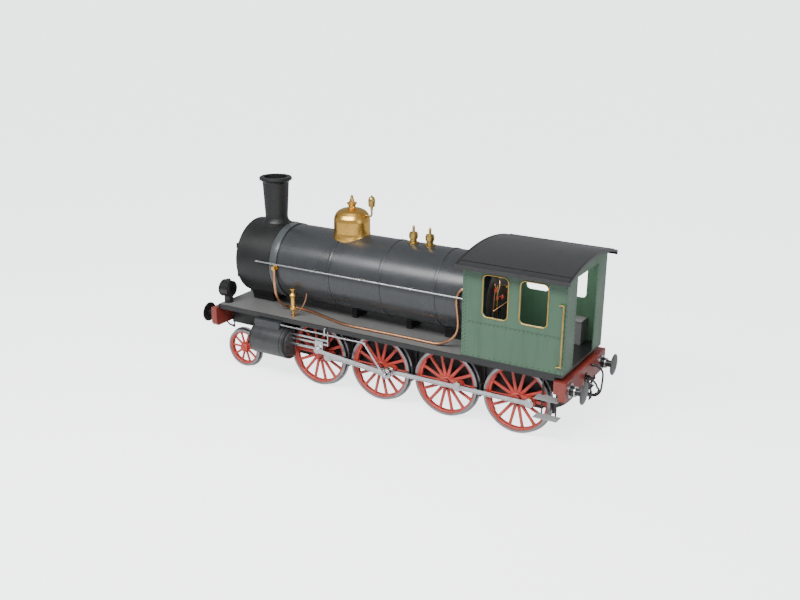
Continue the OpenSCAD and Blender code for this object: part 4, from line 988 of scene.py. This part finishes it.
# %% Rivets on the cab
side_y = 1.088
points = row((-2.125, side_y, 1.63), (-2.125, side_y, 3.46), 0.075, (0, 1, 0))
points += row((-2.170, side_y, 1.667), (-2.170, side_y, 3.42), 0.075, (0, 1, 0))
points += row((-2.25, side_y, 2.310), (-4.23, side_y, 2.310), 0.090, (0, 1, 0))
points += row((-2.25, side_y, 1.625), (-4.23, side_y, 1.625), 0.120, (0, 1, 0))
points += row((-4.245, side_y, 1.70), (-4.245, side_y, 3.44), 0.110, (0, 1, 0))
points = on_both_sides(points)
for y in (0.62, 1.045):
    points += on_both_sides(row((-4.265, y, 1.66), (-4.265, y, 3.36), 0.100, (-1, 0, 0)))
points += on_both_sides(row((-2.095, 1.04, 1.66), (-2.095, 1.04, 3.40), 0.100, (1, 0, 0)))
set_heads("cab_rivets", points, 0.0125, 0.005, "seam_green")

# %% Window frames and their screws
WINDOWS = ((-3.056, -2.546), (-3.879, -3.333))
WINDOW_LOW, WINDOW_TOP, WINDOW_CORNER = 2.480, 3.320, 0.090
FRAME_WIDE, FRAME_DEEP, FRAME_FACE = 0.030, 0.0135, 1.0865
SCREW_Y = 1.0985


def window_frame(x0, x1, z0, z1, corner):
    """A half-round brass frame that hugs the window's edge."""
    route = []
    grow = FRAME_WIDE / 2
    for cx, cz, first in ((x1 - corner, z1 - corner, 0), (x0 + corner, z1 - corner, 90),
                          (x0 + corner, z0 + corner, 180), (x1 - corner, z0 + corner, 270)):
        for k in range(9):
            a = math.radians(first + 90 * k / 8)
            route.append(Vector((cx + (corner + grow) * math.cos(a), 0, cz + (corner + grow) * math.sin(a))))
    n = len(route)
    corners = []
    for i, p in enumerate(route):
        ahead = (route[(i + 1) % n] - route[i - 1]).normalized()
        out = Vector((ahead.z, 0, -ahead.x))
        for k in range(9):
            a = math.pi * k / 8
            proud = Vector((0, FRAME_FACE + FRAME_DEEP * math.sin(a), 0))
            corners.append(p + out * (grow * math.cos(a)) + proud)
    return corners, skin(n, 9, closed=True)


frames = mirrored([window_frame(x0, x1, WINDOW_LOW, WINDOW_TOP, WINDOW_CORNER) for x0, x1 in WINDOWS])
piece("window_frames_rounded", [(frames, 0)], ["old_brass"],
      stands_for=["cab_window_frames"], crisp=50)
points = []
middle = FRAME_WIDE / 2
for x0, x1 in WINDOWS:
    for z in (WINDOW_LOW - middle, WINDOW_TOP + middle):
        points += row((x0 + 0.07, SCREW_Y, z), (x1 - 0.07, SCREW_Y, z), 0.125, (0, 1, 0))
    for x in (x0 - middle, x1 + middle):
        points += row((x, SCREW_Y, 2.56), (x, SCREW_Y, 3.24), 0.135, (0, 1, 0))
set_heads("window_frame_screws", on_both_sides(points), 0.005, 0.003, "old_brass")

# %% Seams, gutters and the roof's edges
seams = mirrored([block((-4.240, 1.0875, 2.335), (-2.200, 1.0895, 2.341)),
                  block((-4.262, 1.0875, 1.577), (-2.100, 1.0905, 1.592))])
piece("cab_seams", [(seams, 0)], ["seam_green"])
EDGE, CROWN, HALF = 3.525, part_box("cab_roof")[1][2], 1.337
ROOF_R = (HALF ** 2 + (CROWN - EDGE) ** 2) / (2 * (CROWN - EDGE))
ROOF_Z = CROWN - ROOF_R


def roof_arc(x0, x1, inner, outer, half):
    """A strip that follows the roof from side to side, between two distances from its curve."""
    steps = 36
    angles = [math.asin(half / ROOF_R) * (2 * k / steps - 1) for k in range(steps + 1)]
    outline = [(r * math.sin(a), ROOF_Z + r * math.cos(a))
               for r, run in ((ROOF_R + outer, angles), (ROOF_R + inner, angles[::-1])) for a in run]
    n = len(outline)
    corners = [(x0, u, v) for u, v in outline] + [(x1, u, v) for u, v in outline]
    faces = [(i, (i + 1) % n, (i + 1) % n + n, i + n) for i in range(n)]
    for base in (0, n):
        faces += [(base + k, base + k + 1, base + n - 2 - k, base + n - 1 - k) for k in range(steps)]
    return corners, faces


def roof_height(y):
    return ROOF_Z + math.sqrt(ROOF_R ** 2 - y * y)


edges = [(roof_arc(x0, x1, -0.045, 0.006, 1.325), 0) for x0, x1 in ((-4.3935, -4.358), (-2.068, -2.0305))]
gutter = []
for y in (1.180, 1.318):
    z = roof_height(y)
    gutter.append(block((-4.36, y - 0.010, z - 0.012), (-2.06, y + 0.010, z + (0.014 if y < 1.2 else 0.006))))
edges.append((mirrored(gutter), 0))
piece("roof_edges", edges, ["fitting_black"])
print("roof radius", round(ROOF_R, 3))

# %% [markdown]
# ## Beams and buffers
# The red beams carry the buffers, the draw hook and the hoses. Rivets run along the beams' top and
# bottom edges, and each buffer stands on a round bright base held by four bolts.

# %% Rivets and bright buffer bases
BEAM_FACE, BUFFER_Y, BUFFER_Z, BOLT_CIRCLE = 4.360, 0.875, 1.226, 0.118
points, bolts, bases = [], [], []
for way in (1, -1):
    x = way * BEAM_FACE
    for z in (1.415, 1.055):
        points += row((x, -1.03, z), (x, 1.03, z), 0.130, (way, 0, 0))
    for y in (BUFFER_Y, -BUFFER_Y):
        for a in (45, 135, 225, 315):
            dy, dz = BOLT_CIRCLE * math.cos(math.radians(a)), BOLT_CIRCLE * math.sin(math.radians(a))
            bolts.append((Vector((x + way * 0.026, y + dy, BUFFER_Z + dz)), Vector((way, 0, 0))))
        for radius, near, far in ((0.1525, 0.0, 0.0235), (0.1075, 0.100, 0.1335)):
            low, high = sorted((x + way * near, x + way * far))
            bases.append((disc(radius, low, high, (0, y, BUFFER_Z), "X", 40, inset=0.0035), 0))
points += row((-4.29, -1.08, 1.452), (-4.29, 1.08, 1.452), 0.14, (0, 0, 1))
set_heads("beam_rivets", points, 0.012, 0.007, "beam_red")
set_heads("buffer_bolts", bolts, 0.016, 0.009, "bright_steel", six_sided=True)
piece("buffer_bases", bases, ["bright_steel"])

# %% Rims and glass of the headlamps
LAMP_Z = 1.870
lamp_parts = []
for y in (0.800, -0.800):
    lamp_parts.append((turned([(0.165, 4.206), (0.196, 4.210), (0.1995, 4.216), (0.196, 4.234), (0.182, 4.236),
                               (0.178, 4.226)], (0, y, LAMP_Z), "X", 48), 0))
    lamp_parts.append((turned([(0.176, 4.222), (0.150, 4.233), (0.090, 4.240), (0.030, 4.243)],
                              (0, y, LAMP_Z), "X", 40), 1))
    lamp_parts.append((lathe([(0.190, 4.055), (0.1935, 4.058), (0.1935, 4.078), (0.190, 4.081), (0.190, 4.055)],
                             40, (0, y, LAMP_Z), "X"), 0))
piece("headlamp_rims", lamp_parts, ["fitting_black", "lamp_glass"])

# %% Cylinder covers and their bolts
COVER_BOLTS = 0.270
points = []
for way, x in ((-1, 2.160), (1, 3.175)):
    for y in (CYLINDER_Y, -CYLINDER_Y):
        for k in range(16):
            a = math.radians(11 + 22.5 * k)
            at = Vector((x, y + COVER_BOLTS * math.cos(a), CYLINDER_Z + COVER_BOLTS * math.sin(a)))
            if abs(at.y) > 0.900:
                points.append((at, Vector((way, 0, 0))))
set_heads("cylinder_bolts", points, 0.015, 0.012, "dull_steel", six_sided=True)
clad = []
for x in (2.215, 2.290, 3.090):
    corners, faces = lathe([(0.360, x), (0.3685, x + 0.003), (0.3685, x + 0.032), (0.360, x + 0.035),
                            (0.360, x)], 64, (0, CYLINDER_Y, CYLINDER_Z), "X")
    clear_of_frame = [f for f in faces if all(corners[i][1] > 0.890 for i in f)]
    clad.append((mirrored([(corners, clear_of_frame)]), 0))
piece("cylinder_bands", clad, ["fitting_black"])
print("cylinder bolts", len(points))

# %% Footsteps
treads, hangers = [], []
for z in (1.000, 0.600):
    treads.append(block((-4.197, 0.842, z - 0.010), (-3.697, 1.090, z - 0.001)))
    treads.append(block((-4.196, 1.078, z - 0.010), (-3.698, 1.0895, z - 0.0002)))
    for k in range(16):
        x = -4.180 + 0.031 * k
        treads.append(block((x, 0.865, z - 0.002), (x + 0.014, 1.068, z - 0.0003)))
for x in (-4.104, -3.810):
    hangers.append(block((x + 0.006, 0.8402, 0.592), (x + 0.034, 0.8545, 1.525)))
piece("cab_steps_treads", [(mirrored(treads), 0), (mirrored(hangers), 1)], ["step_grey", "fitting_black"],
      stands_for=["cab_steps"])
print("step parts", 2 * (len(treads) + len(hangers)))

# %% [markdown]
# ## Inside the cab
# The driver sees the boiler's rear plate with its gauges, valves and copper pipes. They show
# through the windows and the doorway, so they get real shapes: a bezel and dial for each gauge,
# hand wheels on the valves, and pipes bent from one fitting to the next.

# %% Gauges, valves and pipes
BACK = -2.480
fittings = []
GAUGE_Z = 3.130
for y, z in ((-0.260, GAUGE_Z), (0.060, GAUGE_Z), (0.330, GAUGE_Z)):
    fittings.append((turned([(0.074, BACK - 0.071), (0.076, BACK - 0.064), (0.076, BACK - 0.006), (0.070, BACK)],
                            (0, y, z), "X", 32), 0))
    fittings.append((lathe([(0.060, BACK - 0.071), (0.066, BACK - 0.080), (0.073, BACK - 0.078),
                            (0.075, BACK - 0.070), (0.060, BACK - 0.071)], 32, (0, y, z), "X"), 0))
    fittings.append((turned([(0.062, BACK - 0.0735), (0.061, BACK - 0.0725)], (0, y, z), "X", 32), 1))
    hand = slab([(y - 0.004, z - 0.010), (y + 0.004, z - 0.010), (y + 0.030, z + 0.038), (y + 0.026, z + 0.041)],
                BACK - 0.077, BACK - 0.0745, "X")
    fittings.append((hand, 2))


def hand_wheel(x, y, z, r):
    """A small red hand wheel with five spokes, facing the driver."""
    rim = lathe([(r + 0.007 * math.cos(math.pi * k / 4), x + 0.007 * math.sin(math.pi * k / 4))
                 for k in range(9)], 28, (0, y, z), "X")
    parts = [rim, turned([(0.014, x - 0.012), (0.016, x), (0.012, x + 0.060)], (0, y, z), "X", 14)]
    for k in range(5):
        a = 2 * math.pi * k / 5
        end_at = Vector((x, y + r * math.cos(a), z + r * math.sin(a)))
        parts.append(tube([Vector((x, y, z)), end_at], 0.005, 6))
    return join_lists(parts)


for y, z, r in ((-0.520, 2.880, 0.050), (-0.420, 2.700, 0.042), (0.520, 2.860, 0.050), (0.420, 2.660, 0.042),
                (-0.180, 2.620, 0.045), (0.180, 2.620, 0.045)):
    fittings.append((hand_wheel(BACK - 0.065, y, z, r), 2))
piece("backhead_gauges", fittings, ["old_brass", "dial_white", "wheel_red"], crisp=40)
# Each point of a pipe is its distance ahead of the rear plate, then its Y and Z.
PIPE_ROUTES = (
    ((0.01, 0.30, 3.00), (-0.04, 0.30, 2.98), (-0.06, 0.34, 2.88), (-0.06, 0.40, 2.74), (-0.05, 0.42, 2.60),
     (-0.05, 0.40, 2.40), (-0.05, 0.36, 2.20), (-0.04, 0.36, 1.90), (-0.04, 0.36, 1.60)),
    ((0.01, 0.50, 2.98), (-0.04, 0.51, 2.96), (-0.06, 0.56, 2.80), (-0.06, 0.60, 2.50), (-0.05, 0.60, 2.20),
     (-0.04, 0.60, 1.60)),
    ((0.01, -0.30, 3.00), (-0.04, -0.30, 2.98), (-0.06, -0.36, 2.86), (-0.06, -0.44, 2.60),
     (-0.05, -0.46, 2.30), (-0.04, -0.46, 1.60)))
CROSS_PIPE = ((-0.07, -0.62, 2.44), (-0.09, -0.40, 2.46), (-0.09, 0.0, 2.47), (-0.09, 0.30, 2.46),
              (-0.07, 0.62, 2.44))


def rear_pipe(route, steps, radius):
    return tube(smooth_route([(BACK + x, y, z) for x, y, z in route], steps), radius, 10)


pipes = [(rear_pipe(route, 6, 0.013), 0) for route in PIPE_ROUTES] + [(rear_pipe(CROSS_PIPE, 8, 0.012), 0)]
piece("backhead_pipes", pipes, ["copper"])
rim = lathe([(0.800, BACK - 0.001), (0.812, BACK - 0.012), (0.835, BACK - 0.010), (0.839, BACK),
             (0.839, BACK + 0.020), (0.800, BACK - 0.001)], 96, (0, 0, BOILER_Z), "X")
plate = turned([(0.800, BACK - 0.004), (0.802, BACK)], (0, 0, BOILER_Z), "X", 96)
piece("backhead_plate", [(rim, 0), (plate, 0)], ["smokebox_black"])
points = ring((BACK - 0.008, 0, BOILER_Z), 0.822, 48, outward=False, way=-1)
for y in (-0.60, -0.36, 0.36, 0.60):
    points += row((BACK - 0.004, y, 2.06), (BACK - 0.004, y, 2.40), 0.11, (-1, 0, 0))
set_heads("backhead_rivets", points, 0.013, 0.008, "smokebox_black")

# %% Seat boards and a lubricator pipe
low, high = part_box("cab_seats")
boards = mirrored([block((low[0], 0.690, high[2]), (low[0] + 0.600, 1.060, high[2] + 0.030))])
made = piece("seat_boards", [(boards, 0)], ["deck_grey"])
bevelled(made, 0.006, 2)
loops = []
for s in (1, -1):
    route = [(2.250, s * 0.850, 1.600), (2.200, s * 0.835, 1.590), (2.120, s * 0.800, 1.640),
             (2.030, s * 0.745, 1.780), (1.970, s * 0.705, 1.950), (1.955, s * 0.690, 2.080)]
    loops.append((tube(smooth_route(route, 8), 0.014, 10), 0))
piece("lubricator_pipes", loops, ["copper"])
print("cab and small pipes done")
